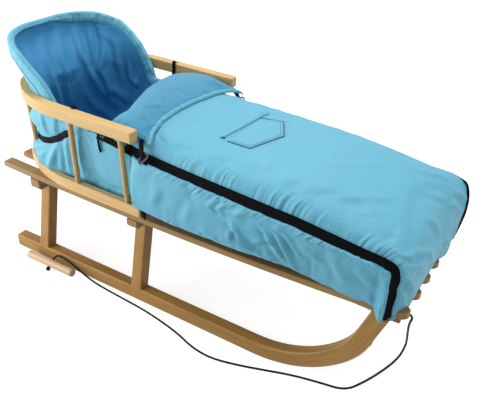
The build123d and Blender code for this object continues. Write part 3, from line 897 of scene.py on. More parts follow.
def zip_frame(side, u):
    """Place of the zip at u, the way it runs, and the way across it towards the cover, in metres."""
    line = zip_line(side)
    x, z = along_table(line, u)
    x2, z2 = along_table(line, min(u + 0.004, 1.0))
    x1, z1 = along_table(line, max(u - 0.004, 0.0))
    ahead = Vector((x2 - x1, 0, z2 - z1)).normalized()
    outside = smooth_step(x, -88, -50)
    y = between(z, WALL_LEAN) + TAIL_OUT + (BAG_EDGE - between(z, WALL_LEAN) - TAIL_OUT) * outside
    tilt = math.radians(TAIL_TILT + (EDGE_TILT - TAIL_TILT) * outside)
    up = Vector((-ahead.z, 0, ahead.x))
    across = up * math.cos(tilt) + Vector((0, -side, 0)) * math.sin(tilt)
    return Vector((x, side * y, z)) / 1000, ahead, across


tail_share = len(ZIP_TAIL) / (len(ZIP_TAIL) + len(COVER_ROWS) - 1)
zip_length = sum(
    (zip_frame(-1, (k + 1) / 200)[0] - zip_frame(-1, k / 200)[0]).length for k in range(200)
)
print("zip length", round(zip_length, 3), "m")

# %% [markdown]
# ## Top of the leg bag
#
# One wide panel covers the legs. It runs from the collar to the front, turns down there and
# ends above the slats' tips. Its middle swells above its edges, most near the collar, and the
# shoulder between is a rounded step that flattens out towards the front. A grid laid by its
# rows follows all of this, and its front edge droops over one slat's tip as in the photo.

# %% Top cover
COVER_LENGTH = 708.0
COVER_WIDTH = 287
COVER_UNDER_TAPE, COVER_BELOW_TAPE = 0.0082, 0.0012
COVER_FOLDS = [
    # height and half width of a ridge, then its ends: distance along and distance across, in mm
    (3.5, 7, (528, -120), (603, -40)),
    (4.1, 6, (558, -128), (618, -75)),
    (2.9, 5, (508, -135), (563, -105)),
    (4.1, 6, (578, -138), (643, -112)),
    (2.9, 7, (593, -60), (658, -20)),
    (2.3, 9, (458, 20), (538, 60)),
    (2.6, 9, (498, -30), (598, 10)),
    (2.1, 9, (358, -110), (438, -40)),
    (1.8, 10, (308, -60), (388, 30)),
    (2.3, 8, (418, 60), (498, 110)),
    (3.5, 7, (528, 90), (598, 138)),
    (2.9, 7, (548, 60), (618, 120)),
    (2.3, 9, (603, 20), (678, 70)),
    (2.9, 8, (618, -120), (698, -90)),
    (2.9, 7, (638, 90), (698, 110)),
]


def cover_place(u, v):
    """Where the cover lies: u runs from the collar to the slats' tips, v from right to left."""
    *_, mid_x, mid_z, square = along_table(COVER_ROWS, u)
    ends = []
    for side in (-1, 1):
        at, ahead, across = zip_frame(side, tail_share + (1 - tail_share) * u)
        ends.append(at + across * COVER_UNDER_TAPE - ahead.cross(across) * side * COVER_BELOW_TAPE)
    span = 2 * v - 1
    edge = ends[0].lerp(ends[1], smooth_step(v, 0.0, 1.0))
    lift = math.sqrt(max(0.0, 1 - abs(span) ** square))
    droop = smooth_step(u, 0.86, 1.0) * math.exp(-(((span - 0.50) / 0.24) ** 2))
    x = edge.x + (mid_x / 1000 - edge.x) * lift + 0.007 * droop
    z = edge.z + (mid_z / 1000 - edge.z) * lift - 0.010 * droop * lift
    return Vector((x, ends[0].y + (ends[1].y - ends[0].y) * v, z))


def cover_mm(u, v):
    """The cover's own coordinates: along from the collar, across from the middle."""
    return COVER_LENGTH * u, COVER_WIDTH * (v - 0.5)


def cover_puckers(u, v):
    """Puckers beside both zips in front of the collar, all leaning forward."""
    along, across = cover_mm(u, v)
    from_zip = COVER_WIDTH / 2 - abs(across)
    near = 1.15 * math.exp(-((from_zip / 11) ** 2)) * smooth_step(u, 0.14, 0.26)
    return (along - 0.5 * from_zip) / 1000, near


cover_bm = laid_grid(146, 78, cover_place)
face_out(cover_bm, lambda c: Vector((0.4, 0, 1)))
mark_puckers(cover_bm, cover_puckers)
top_cover = new_piece("top_cover", cover_bm, "muff_shell", shell_cloth, lining_cloth)
billow(top_cover, pressure=2.0, spare=0.05, cap=0.006)
press_folds(top_cover, cover_mm, COVER_FOLDS)
thicken(top_cover, 0.008, inner=1)
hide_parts("muff_tunnel")

# %% [markdown]
# ## Side panels
#
# A padded panel hangs on each side from the zip to the slats. In front of the backrest it
# lies outside the slats, and its hem drops towards the front, where it tucks in below. Behind the
# first spindle it goes inside the two hoops and leans out with the spindles. The hem pulls the
# fabric into a few deep slanting folds.

# %% Side panels
PANEL_REAR = -192
PANEL_LENGTH = 607
PANEL_SIDE = 148.5
PANEL_BULGE = 4
PANEL_TUCK = 14
PANEL_HEIGHT = 120
PANEL_UNDER_TAPE, PANEL_BELOW_TAPE = 0.0084, 0.0015
SPINDLE_FOOT_X, SPINDLE_FOOT_Z, SPINDLE_LEAN = -108, 243, 0.14
SIDE_HEM = [
    # x and height of the hem: behind the seat hoop, on it, and outside the slats
    (-192, 221), (-125, 221), (-112, 238), (-92, 238), (-80, 235), (-60, 233), (-35, 231), (0, 228),
    (120, 227), (200, 229), (245, 226), (285, 219), (330, 208), (370, 201), (420, 198),
]
SIDE_FOLDS = [
    # height and half width of a ridge, then its ends: x and height above the floor, in mm
    (9.0, 6, (138, 290), (178, 240)),
    (5.4, 5, (150, 268), (196, 236)),
    (9.0, 6, (200, 304), (250, 231)),
    (9.9, 6, (226, 300), (262, 228)),
    (5.4, 5, (212, 270), (240, 234)),
    (5.4, 6, (238, 312), (268, 262)),
    (3.9, 5, (101, 296), (130, 326)),
    (3.9, 5, (117, 296), (146, 322)),
    (3.9, 5, (156, 302), (190, 318)),
    (4.5, 5, (134, 246), (143, 280)),
    (3.9, 8, (262, 292), (306, 270)),
    (3.3, 9, (320, 296), (350, 240)),
    (2.8, 9, (60, 300), (40, 246)),
    (2.8, 9, (-30, 262), (-5, 310)),
    (3.6, 6, (180, 262), (220, 282)),
    (3.6, 8, (360, 285), (395, 262)),
    (3.3, 6, (76, 250), (110, 236)),
    (3.3, 8, (380, 240), (400, 215)),
]


def side_borders(side):
    """The panel's border on the zip: x to z and y along the top, and z to x and y up the front."""
    last = len(ZIP_TAIL) + len(COVER_ROWS) - 1
    corner = len(ZIP_TAIL) + CORNER_ROW
    top, front = [(PANEL_REAR, 362.0, 144.5)], []
    for k in range(8 * last + 1):
        at, ahead, across = zip_frame(side, k / (8 * last))
        spot = (at - across * PANEL_UNDER_TAPE - ahead.cross(across) * side * PANEL_BELOW_TAPE) * 1000
        if k <= 8 * corner + 6:
            top.append((spot.x, spot.z, abs(spot.y)))
        if k >= 8 * corner - 6:
            front.insert(0, (spot.z, spot.x, abs(spot.y)))
    return top, front


def side_place(side):
    """Where a side panel lies: u runs forward, v upward."""
    top, front = side_borders(side)
    top_z, top_y = [row[:2] for row in top], [(row[0], row[2]) for row in top]
    end_x, end_y = [row[:2] for row in front], [(row[0], row[2]) for row in front]

    def place(u, v):
        x = PANEL_REAR + PANEL_LENGTH * u
        for _ in range(4):
            low, high = between(x, SIDE_HEM), between(x, top_z)
            z = low + (high - low) * v
            x = PANEL_REAR + (between(z, end_x) - PANEL_REAR) * u
        inside = between(z, WALL_LEAN) + 1.5
        spindle = SPINDLE_FOOT_X + SPINDLE_LEAN * (z - SPINDLE_FOOT_Z)
        tuck = PANEL_TUCK * smooth_step(x, 150, 330) * (1 - v) ** 1.1
        bulge = PANEL_BULGE * math.sin(math.pi * v) ** 0.8
        belly = PANEL_SIDE + bulge + (between(x, top_y) - PANEL_SIDE) * v**3 - tuck
        y = inside + (belly - inside) * smooth_step(x, spindle + 2, spindle + 30)
        y += (between(z, end_y) - y) * smooth_step(u, 0.965, 1.0)
        return Vector((x / 1000, side * y / 1000, z / 1000))

    return place


def side_mm(u, v):
    """The side panel's own coordinates: x, and height above the floor."""
    x = PANEL_REAR + PANEL_LENGTH * u
    edge = [(row[0], row[1] - 5) for row in COVER_ROWS[: CORNER_ROW + 1]]
    low, high = between(x, SIDE_HEM), between(x, edge)
    return x, low + (high - low) * v


def side_puckers(u, v):
    """Puckers below the zip that lean forward, and small ones at the hem."""
    x, z = side_mm(u, v)
    below = (1 - v) * PANEL_HEIGHT
    above = v * PANEL_HEIGHT
    near = math.exp(-((below / 15) ** 2)) + 0.6 * math.exp(-((above / 14) ** 2))
    return (x + 0.8 * below) / 1000, near * smooth_step(x, -40, 20)


for side_name, side in (("right", -1), ("left", 1)):
    panel_bm = laid_grid(132, 34, side_place(side))
    face_out(panel_bm, lambda c: Vector((0, side, 0)))
    mark_puckers(panel_bm, side_puckers)
    panel = new_piece("side_panel_" + side_name, panel_bm, "muff_shell", shell_cloth, lining_cloth)
    billow(panel, pressure=2.0, spare=0.05, cap=0.005, ease=6)
    press_folds(panel, side_mm, SIDE_FOLDS, deepest=3.5)
    thicken(panel, 0.007, inner=1)

# %% [markdown]
# ## Zips
#
# Each zip is a black tape with a coil along its middle, and the tape lies over the edges of
# the fabric. The coil is a row of small teeth at the pitch of a coarse zip. There are hundreds, so
# each tooth is only a block of six faces.

# %% Zip tapes
ZIP_HALF = 0.0108
TAPE_OUT, COIL_RISE = 0.0022, 0.0016
TOOTH_PITCH = 0.0042
TOOTH_OUT, TOOTH_SHIFT = 0.0040, 0.0006
TOOTH_SIZE = (0.0030, 0.0048, 0.0014)


def tape_place(side):
    """Where a zip's tape lies: a low roof, highest at the coil and narrower on its tail."""

    def place(u, v):
        at, ahead, across = zip_frame(side, u)
        out = ahead.cross(across) * side
        off = 2 * v - 1
        half = ZIP_HALF * (0.6 + 0.4 * smooth_step(at.x, -0.155, -0.07))
        return at + across * off * half + out * (TAPE_OUT + COIL_RISE * (1 - abs(off)))

    return place


for side_name, side in (("right", -1), ("left", 1)):
    tape_bm = laid_grid(150, 6, tape_place(side))
    face_out(tape_bm, lambda c: Vector((0, side, 0.3)))
    tape = new_piece("zip_band_" + side_name, tape_bm, "zip_black", black_tape)
    thicken(tape, 0.0014, subdivide=0)
    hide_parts("zip_tape_" + side_name)
    teeth_bm = bmesh.new()
    teeth = int(zip_length / TOOTH_PITCH)
    for k in range(teeth):
        at, ahead, across = zip_frame(side, (k + 0.5) / teeth)
        out = (ahead.cross(across) * side).normalized()
        spot = at + out * TOOTH_OUT + across * (TOOTH_SHIFT if k % 2 else -TOOTH_SHIFT)
        axes = [way * size for way, size in zip((ahead, across, out), TOOTH_SIZE)]
        turn = Matrix(axes).transposed().to_4x4()
        bmesh.ops.create_cube(teeth_bm, size=1.0, matrix=Matrix.Translation(spot) @ turn)
    bmesh.ops.recalc_face_normals(teeth_bm, faces=teeth_bm.faces[:])
    coil = new_piece("zip_teeth_" + side_name, teeth_bm, "zip_black", black_tape)
    coil.data.shade_flat()
print("teeth on each zip:", teeth)

# %% [markdown]
# ## Hood
#
# Behind the child, the muff becomes a hood that follows both hoops and flares over the upper
# one. In plan it is a U with round corners, and its rows below say how far back and how wide the
# U is at each height. Its rim falls towards the front on both sides. The outside is shell fabric
# and the inside is lining, and they're two sheets with the padding's space between them.

# %% Form of the hood
HOOD_ROWS = [
    # height, rear x, half width, in millimetres
    (205, -418, 114.5),
    (240, -414.5, 116.5),
    (309, -400, 131),
    (378, -383, 145),
    (412, -385, 145),
    (443, -416, 147.5),
    (475, -436, 148.5),
    (500, -432, 146),
]
HOOD_CORNER = 114.0
HOOD_HEM = 221.0
RIM_FLARE_Z = 440
HOOD_RIM = [(-450, 496), (-380, 489), (-335, 474), (-314, 456), (-294, 434), (-274, 396), (-256, 362),
            (-190, 360)]
HOOD_FRONT = -182.0
HOOD_LENGTH = 760.0


def hood_row(z):
    """Rear x and half width of the U at height z, with the rows' corners smoothed."""
    columns = [[(row[0], row[k]) for row in HOOD_ROWS] for k in (1, 2)]
    return [sum(between(z + step, column) for step in (-22, -11, 0, 11, 22)) / 5 for column in columns]


def around_u(s, rear, width, radius):
    """A point of the U at share s of its length, from the right front end to the left one."""
    straight = HOOD_FRONT - (rear + radius)
    flat = 2 * (width - radius)
    total = 2 * straight + math.pi * radius + flat
    at = s * total
    mirror = 1.0
    if at > total / 2:
        at, mirror = total - at, -1.0
    if at < straight:
        return HOOD_FRONT - at, -width * mirror
    at -= straight
    if at < radius * math.pi / 2:
        turn = at / radius
        return rear + radius - radius * math.sin(turn), -(width - radius + radius * math.cos(turn)) * mirror
    return rear, -(width - radius - (at - radius * math.pi / 2)) * mirror


def hood_place(inset, hem):
    """Where a sheet of the hood lies: u runs round the U, v from the hem to the rim."""

    def place(u, v):
        x_mid, _ = around_u(u, *hood_row(RIM_FLARE_Z), HOOD_CORNER)
        top = between(x_mid, HOOD_RIM)
        z = hem + (top - hem) * v
        rear, width = hood_row(z)
        x, y = around_u(u, rear + inset, width - inset, HOOD_CORNER - inset)
        return Vector((x / 1000, y / 1000, z / 1000))

    return place


def hood_mm(u, v):
    """The hood's own coordinates: distance round the U, and height."""
    return HOOD_LENGTH * u, hood_place(0.0, HOOD_HEM)(u, v).z * 1000


# %% [markdown]
# ### The pinch of the strap
#
# A strap is pulled round each rear corner. It presses a groove into the shell, the loose fabric
# swells out above and below it, and creases run from its front end down to the hem. The swelling
# is laid out before the cloth simulation and the creases are pressed in after it.

# %% Hood shell
STRAP_LINE = [
    # share round the hood, and height
    (0.075, 350), (0.106, 341), (0.148, 321), (0.191, 308), (0.235, 301),
    (0.27, 299), (0.30, 304), (0.33, 314), (0.36, 322), (0.40, 330),
]


def swell(u, z):
    """How far the loose shell swells out at the rear corners, above and below the strap."""
    u = min(u, 1 - u)
    round_corner = math.exp(-(((u - 0.275) / 0.085) ** 2))
    low = math.exp(-(((z - 272) / 28) ** 2)) + 0.5 * math.exp(-(((z - 238) / 18) ** 2))
    high = math.exp(-(((z - 348) / 24) ** 2))
    from_strap = (z - between(u, STRAP_LINE)) / 9
    tied = smooth_step(u, 0.085, 0.14) * smooth_step(-u, -0.42, -0.36)
    pinch = math.exp(-(from_strap**2)) * tied
    return round_corner * (19 * low + 14 * high) * (1 - 0.55 * pinch) - 3 * pinch


SHELL_FOLDS = [
    # height and half width of a ridge, then its points: distance round and height, in mm
    (5.5, 7, (184, 222), (162, 255), (138, 286), (116, 314)),
    (-4.0, 5, (236, 258), (203, 272), (172, 285), (148, 299)),
    (4.0, 6, (112, 228), (96, 292), (82, 338)),
    (3.5, 5, (100, 375), (112, 344), (118, 328)),
    (3.0, 6, (150, 372), (146, 348), (150, 325)),
    (3.0, 6, (140, 232), (126, 262), (112, 300)),
    (3.5, 5, (70, 228), (48, 306), (30, 356)),
    (4.0, 8, (215, 232), (200, 262)),
    (3.0, 9, (560, 240), (580, 350)),
    (3.5, 9, (600, 236), (640, 330)),
    (3.0, 12, (330, 250), (340, 400)),
    (3.0, 12, (420, 250), (410, 400)),
]
hood_bm = laid_grid(150, 46, hood_place(0.0, HOOD_HEM))
face_out(hood_bm, lambda c: Vector((c.x + 0.3, c.y, 0)))
layer_u, layer_v = hood_bm.verts.layers.float["u"], hood_bm.verts.layers.float["v"]
outward = {v: v.normal.copy() for v in hood_bm.verts}
for v in hood_bm.verts:
    v.co += outward[v] * (swell(v[layer_u], v.co.z * 1000) / 1000)
mark_puckers(hood_bm, lambda u, v: (HOOD_LENGTH / 1000 * u, math.exp(-(((1 - v) / 0.12) ** 2))))
hood_shell = new_piece("hood_shell", hood_bm, "muff_shell", shell_cloth)
billow(hood_shell, pressure=1.5, spare=0.045, cap=0.006)
press_folds(hood_shell, hood_mm, SHELL_FOLDS, deepest=4.0)
thicken(hood_shell, 0.002)
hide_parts("muff_back")

# %% [markdown]
# ### Lining of the hood
#
# The lining is a little too large for the inside of the U, so it hangs in long folds that bend
# towards the seat. Each fold follows a broken line, and the fabric is kept stiffer than the
# shell here, so that it doesn't wrinkle between them.

# %% Hood lining
LINING_INSET = 9.0
LINING_HEM = 222.0
LINING_FOLDS = [
    # height and half width of a ridge, then its points: distance round and height, in mm
    (9.5, 11, (469, 470), (447, 414), (460, 379), (498, 330), (536, 300), (570, 284)),
    (8.5, 9, (528, 470), (520, 427), (493, 378), (523, 329), (593, 298)),
    (6.0, 6, (577, 400), (585, 352), (622, 338)),
    (6.5, 11, (417, 470), (382, 417), (376, 364), (406, 305)),
    (5.5, 10, (371, 470), (333, 421), (325, 377), (355, 320)),
    (6.5, 9, (501, 465), (487, 420), (482, 375)),
    (5.0, 9, (300, 460), (290, 400), (310, 340)),
    (5.0, 9, (556, 440), (548, 390), (560, 340)),
    (4.5, 9, (440, 340), (480, 290), (540, 250)),
    (4.5, 10, (250, 450), (262, 380), (290, 320)),
    (4.5, 9, (610, 370), (600, 310), (620, 260)),
]
lining_bm = laid_grid(140, 48, hood_place(LINING_INSET, LINING_HEM))
face_out(lining_bm, lambda c: Vector((-c.x - 0.3, -c.y, 0)))
hood_lining = new_piece("hood_lining", lining_bm, "muff_lining", lining_cloth)
billow(hood_lining, pressure=1.5, spare=0.04, cap=0.007, bending=0.4)
press_folds(hood_lining, hood_mm, LINING_FOLDS, deepest=2.0)
thicken(hood_lining, 0.002)

# %% [markdown]
# ### Rim channel
#
# The hood's edge is a folded channel for a drawstring: shell fabric goes up the outside, over
# the rim and a little way down the inside, with a stitched line below it. The string has drawn
# it up, so it is gathered into many small puckers, most at the far side. It is laid as one strip
# whose cross section is the fold, because that keeps its two sides together.

# %% Rim channel
RIM_DEPTH = 0.020
RIM_HALF = 0.0050
rim_run = hood_place(LINING_INSET / 2, HOOD_HEM)


def rim_place(u, v):
    """Where the channel lies: v runs from its stitching outside, over the rim, to the one inside."""
    at = rim_run(u, 1.0)
    ahead = (rim_run(min(u + 0.004, 1), 1.0) - rim_run(max(u - 0.004, 0), 1.0)).normalized()
    inner = rim_run(u, 0.93)
    down = (inner - at).normalized()
    down = (down - down.dot(ahead) * ahead).normalized()
    out = ahead.cross(down)
    out = out if out.dot(Vector((at.x + 0.28, at.y, 0.0))) > 0 else -out
    gather = smooth_step(u, 0.42, 0.55) + 0.35
    broad = noise.noise(Vector((u * 95, v * 2.0, 1.0))) * 0.0024
    fine = noise.noise(Vector((u * 240, v, 4.0))) * 0.0012
    wave = gather * (broad + fine)
    reach = RIM_DEPTH + 0.002 * noise.noise(Vector((u * 25, 2.0, 2.0)))
    if v < 0.4:
        t = v / 0.4
        side, depth = 1.0, reach * (1 - t)
    elif v > 0.6:
        t = (1 - v) / 0.4
        side, depth = -1.0, (0.30 + 0.55 * smooth_step(u, 0.52, 0.62)) * reach * (1 - t)
    else:
        turn = math.pi * (v - 0.4) / 0.2
        return at + out * ((0.0062 + wave) * math.cos(turn)) - down * (RIM_HALF * math.sin(turn))
    puff = RIM_HALF + 0.0022 * math.sin(math.pi * min(t, 1.0)) + wave * (0.35 + 0.65 * t)
    return at + out * side * puff + down * depth


rim_bm = laid_grid(230, 22, rim_place)
face_out(rim_bm, lambda c: Vector((0, 0, 1)))
mark_puckers(rim_bm, lambda u, v: (HOOD_LENGTH / 1000 * u, 0.8 * (0.25 + smooth_step(u, 0.42, 0.55))))
rim_channel = new_piece("rim_channel", rim_bm, "muff_shell", shell_cloth)
thicken(rim_channel, 0.0016)

# %% [markdown]
# ## Collar
#
# The leg bag is lined with fleece that is turned out over its mouth as a wide soft collar. It is a
# fat roll at the rear and lies down towards the front, where a narrow hem of shell
# fabric edges it in a curve across the cover.

# %% Collar
COLLAR_REAR = [(-150, -122), (-103, -112), (-80, -118), (-10, -142), (45, -152), (79, -152), (120, -140),
               (150, -122)]
COLLAR_HEM = [(-150, -34), (-120, -48), (-79, -60), (-23, -66), (21, -64), (90, -54), (120, -44),
              (150, -30)]
COLLAR_TOP = 0.68
ROLL_RADIUS = 13
HEM_RADIUS = 5.5


def collar_base(y):
    """Height of what the collar lies on."""
    lift = math.sqrt(max(0.0, 1 - abs(y / 151) ** 4.5))
    return 366 + 22 * lift


def collar_place(u, v):
    """Where the collar lies: u runs from right to left, v from the front hem over the rear roll."""
    y = -147 + 294 * u
    front, rear = between(y, COLLAR_HEM), between(y, COLLAR_REAR)
    base = collar_base(y)
    slump = 1 - 0.35 * abs(y / 150) ** 6
    if v < COLLAR_TOP:
        t = v / COLLAR_TOP
        rise = (1 - (1 - t) ** 2.6) ** (1 / 2.6)
        x = front + (rear - front) * t
        z = base + 2 + slump * (17 * rise + 9 * t * math.sin(math.pi * t * 0.9))
    else:
        t = (v - COLLAR_TOP) / 0.32
        turn = math.pi * t
        x = rear - ROLL_RADIUS * math.sin(turn) + 34 * t * t
        z = base + 2 + slump * 19.8 - ROLL_RADIUS * (1 - math.cos(turn)) - 6 * t
    out = 3.5 * abs(y / 150) ** 8 * math.sin(math.pi * min(v / 0.9, 1))
    return Vector((x / 1000, (y + math.copysign(out, y)) / 1000, z / 1000))


def collar_mm(u, v):
    """The collar's own coordinates: across from the middle, and back from the hem."""
    return 298 * (u - 0.5), 140 * v


COLLAR_FOLDS = [
    # height and half width of a ridge, then its ends: distance across and distance back, in mm
    (3.0, 9, (-120, 6), (-100, 60)),
    (2.5, 9, (-60, 4), (-50, 40)),
    (2.5, 9, (10, 4), (6, 36)),
    (2.5, 9, (70, 4), (80, 44)),
    (3.0, 9, (110, 6), (124, 60)),
]
collar_bm = laid_grid(96, 44, collar_place)
face_out(collar_bm, lambda c: Vector((0, 0, 1)))
collar = new_piece("fleece_collar", collar_bm, "muff_fleece", fleece)
billow(collar, pressure=2.0, spare=0.02, cap=0.006, bending=1.0)
press_folds(collar, collar_mm, COLLAR_FOLDS)
thicken(collar, 0.006)
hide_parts("muff_collar")

# %% [markdown]
# ### Hem of the collar
#
# A narrow roll of shell fabric edges the fleece in front. It is laid as an arch, open below where
# nobody looks, and a noise along it makes it thicker and thinner as hand-fed piping is.

# %% Collar hem
def hem_place(u, v):
    """Where the collar's hem band lies: a rounded edging in front of the fleece."""
    y = -149 + 298 * u
    front = between(y, COLLAR_HEM)
    turn = math.pi * (1.25 * v - 0.1)
    pinch = 1 + 0.22 * noise.noise(Vector((y / 13, 0.0, 5.0)))
    x = front + HEM_RADIUS * pinch * math.cos(turn) + 0.5
    z = collar_base(y) + 3.0 + HEM_RADIUS * pinch * math.sin(turn)
    return Vector((x / 1000, y / 1000, z / 1000))


hem_bm = laid_grid(140, 12, hem_place)
face_out(hem_bm, lambda c: Vector((1, 0, 1)))
mark_puckers(hem_bm, lambda u, v: (0.3 * u, 0.9))
collar_hem = new_piece("collar_hem", hem_bm, "muff_shell", shell_cloth)
thicken(collar_hem, 0.0016)
print("collar hem is about", round(2 * HEM_RADIUS), "mm thick")

# %% [markdown]
# ## Seat pad
#
# The pad on the seat is a plain cushion between the walls, rounded at the rear like the hood. It
# swells between its edges, so it is billowed as the panels are.

# %% Seat pad
PAD_REAR, PAD_LENGTH = -402, 350
PAD_HALF = 103.0
PAD_ROUND_X = -301
PAD_HEIGHT = 0.2275


def pad_place(u, v):
    """Where the pad's top lies."""
    x = PAD_REAR + PAD_LENGTH * u
    reach = PAD_HALF
    if x < PAD_ROUND_X:
        reach = math.sqrt(max(0.0, PAD_HALF**2 - (x - PAD_ROUND_X) ** 2))
    y = max(reach, 8.0) * (2 * v - 1)
    return Vector((x / 1000, y / 1000, PAD_HEIGHT))


pad_bm = laid_grid(60, 36, pad_place)
face_out(pad_bm, lambda c: Vector((0, 0, 1)))
seat_pad = new_piece("seat_pad", pad_bm, "muff_lining", lining_cloth)
billow(seat_pad, pressure=2.0, spare=0.03, cap=0.006, bending=0.6)
thicken(seat_pad, 0.010)
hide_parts("muff_pad")

# %% [markdown]
# ## Pocket
#
# The cover has a small pocket. Its mouth is a welt, a narrow stitched lip with a bar tack at its
# right end, and a pointed flap lies in front of it with a row of stitching inside its edge. These
# are thin patches that follow the cover, so their height is read from the cover itself.

# %% Pocket
bpy.context.view_layer.update()
cover_now = top_cover.evaluated_get(bpy.context.evaluated_depsgraph_get())
COVER_TOP = 0.388


def on_cover(x, y, above):
    """The point above the cover's surface at x and y, in millimetres."""
    hit, place, _, _ = cover_now.ray_cast(Vector((x / 1000, y / 1000, 0.5)), Vector((0, 0, -1)))
    return Vector((x / 1000, y / 1000, (place.z if hit else COVER_TOP) + above / 1000))


POCKET_OUTLINE = [(78, -73), (124, -73), (149, 2), (119, 56), (76, 44)]
POCKET_STITCHING = [(81, -68), (121, -68), (143, 1), (115, 50), (80, 41)]
WELT_LINE = [(64, -68), (76, 72)]
WELT_STITCHING = [(67, -69), (70, 66)]


def flap_place(u, v):
    """Where the flap lies: u runs away from its mouth, v from right to left."""
    y0, y1 = -73, 44 + 12 * min(u * 1.6, 1)
    y = y0 + (y1 - y0) * v
    far = between(y, [(-73, 124), (2, 149), (56, 119)])
    return on_cover(77 + (far - 77) * u, y, 1.6 if 0 < u < 1 and 0 < v < 1 else 0.4)


flap_bm = laid_grid(16, 28, flap_place)
face_out(flap_bm, lambda c: Vector((0, 0, 1)))
pocket = new_piece("pocket_cover", flap_bm, "muff_shell", shell_cloth)
thicken(pocket, 0.001, subdivide=0)
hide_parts("pocket_flap")
print("pocket flap lies at", round(on_cover(100, 0, 0).z * 1000), "mm above the floor")

# %% [markdown]
# ### Round edges and stitches
#
# A dark line of painted shade along an edge, a welt and a wire are all a round tube along a line. A
# ring of edges is extruded from point to point and turned to face along the line. A stitch is a
# short block of thread.

# %% Tubes and stitches
def tube_along(line, radius, sides=6):
    """A round tube along a line of points, made by extruding a ring."""
    bm = bmesh.new()
    ring = bmesh.ops.create_circle(bm, segments=sides, radius=1.0)["verts"]
    rings = [ring]
    for k in range(1, len(line)):
        edges = list({e for v in rings[-1] for e in v.link_edges if all(w in rings[-1] for w in e.verts)})
        grown = bmesh.ops.extrude_edge_only(bm, edges=edges)["geom"]
        fresh = [g for g in grown if isinstance(g, bmesh.types.BMVert)]
        order = {}
        for v in fresh:
            for e in v.link_edges:
                w = e.other_vert(v)
                if w in rings[-1]:
                    order[rings[-1].index(w)] = v
        rings.append([order[i] for i in range(sides)])
    for k, ring in enumerate(rings):
        ahead = (line[min(k + 1, len(line) - 1)] - line[max(k - 1, 0)]).normalized()
        side = ahead.orthogonal() if abs(ahead.z) > 0.95 else ahead.cross(Vector((0, 0, 1)))
        side = side.normalized()
        up = side.cross(ahead)
        for i, v in enumerate(ring):
            turn = 2 * math.pi * i / sides
            v.co = line[k] + radius * (side * math.cos(turn) + up * math.sin(turn))
    for ring in (rings[0], rings[-1]):
        bmesh.ops.contextual_create(bm, geom=ring)
    bmesh.ops.recalc_face_normals(bm, faces=bm.faces[:])
    return bm


def line_points(corners, step):
    """Points at even steps along a broken line."""
    points = [Vector(corners[0])]
    for a, b in zip(corners, corners[1:]):
        a, b = Vector(a), Vector(b)
        count = max(1, round((b - a).length / step))
        points += [a.lerp(b, (k + 1) / count) for k in range(count)]
    return points


def stitches(name, lines, length=3.0, gap=1.4, thick=0.45):
    """Rows of thread stitches: each line is a function from millimetres to a place, and its length."""
    bm = bmesh.new()
    for place, total in lines:
        at = 0.0
        while at + length < total:
            a, b = place(at), place(at + length)
            along = b - a
            if along.length > 1e-6:
                turn = along.to_track_quat("X", "Z").to_matrix().to_4x4()
                size = Matrix.Diagonal((along.length, thick * 1.6 / 1000, thick / 1000, 1))
                bmesh.ops.create_cube(bm, size=1.0, matrix=Matrix.Translation((a + b) / 2) @ turn @ size)
            at += length + gap
    bmesh.ops.recalc_face_normals(bm, faces=bm.faces[:])
    new_piece(name, bm, "muff_shell", thread)


def reader(corners, above):
    """A function that walks a broken line on the cover, and the line's length."""
    steps = [(Vector(b) - Vector(a)).length for a, b in zip(corners, corners[1:])]

    def place(at):
        for (a, b), step in zip(zip(corners, corners[1:]), steps):
            if at <= step:
                spot = Vector(a).lerp(Vector(b), at / step)
                return on_cover(spot.x, spot.y, above)
            at -= step
        return on_cover(*corners[-1], above)

    return place, sum(steps)


stitches("pocket_stitches", [reader(POCKET_STITCHING, 2.0), reader(WELT_STITCHING, 1.2)])
edge_line = [on_cover(p.x, p.y, 0.7) for p in line_points(POCKET_OUTLINE, 4)]
# The flap's edge is a thin dark tube: painted shade along the flap's rim.
new_piece("pocket_edge_shadow", tube_along(edge_line, 0.0011, 6), "muff_shell", seam_shadow)
welt_line = [on_cover(p.x, p.y, 0.8) for p in line_points(WELT_LINE, 5)]
new_piece("pocket_welt", tube_along(welt_line, 0.0030, 8), "muff_shell", shell_cloth)
tack_line = [on_cover(62, -69, 1.5), on_cover(66, -67, 2.2), on_cover(70, -68, 1.5)]
new_piece("pocket_tack", tube_along(tack_line, 0.0014, 8), "muff_shell", seam_shadow)
print("pocket edge has", len(edge_line), "points")

# %% [markdown]
# ### Seam below the rim
#
# A line of sewing shows on the outside of the hood where its rim channel is closed. It is a thin
# dark tube on the channel's lower edge: the sewn line is real, and its dark colour is painted shade
# of the step that the channel's edge makes. It stops short of both front ends, where the rim runs
# down behind the rail.

# %% Rim seam
rim_line = [rim_place(k / 220, 0.05) for k in range(30, 191)]
# The tube's dark finish is painted shade along the channel's edge.
new_piece("rim_seam_shadow", tube_along(rim_line, 0.0011, 6), "muff_shell", seam_shadow)
print("rim seam has", len(rim_line), "points")

# %% [markdown]
# ## Straps, loops and sliders
#
# Black webbing ties the muff to the sled: a strap round each rear corner, a short loop at the
# lower hoop's front end, and a loop over the rail. Webbing is a flat strip along a smooth line,
# turned to lie on what it goes round.

# %% Webbing
WEBBING_THICKNESS = 0.0016
HOOD_MIDDLE_X = -0.29


def strap_along(line, width, face):
    """A flat strap along a line of points, face(point) being the way its flat side looks."""
    points = [Vector(p) for p in line]

    def place(u, v):
        at = u * (len(points) - 1)
        k = min(int(at), len(points) - 2)
        spot = points[k].lerp(points[k + 1], at - k)
        ahead = (points[k + 1] - points[k]).normalized()
        look = face(spot).normalized()
        across = ahead.cross(look).normalized()
        return spot + across * width * (v - 0.5)

    bm = laid_grid(4 * (len(points) - 1), 3, place)
    face_out(bm, face)
    return bm


def smooth_line(points, steps=6):
    """More points on a smooth curve through the given ones."""
    rows = [tuple(p) for p in points]
    count = steps * (len(rows) - 1)
    return [Vector(along_table(rows, k / count)) for k in range(count + 1)]


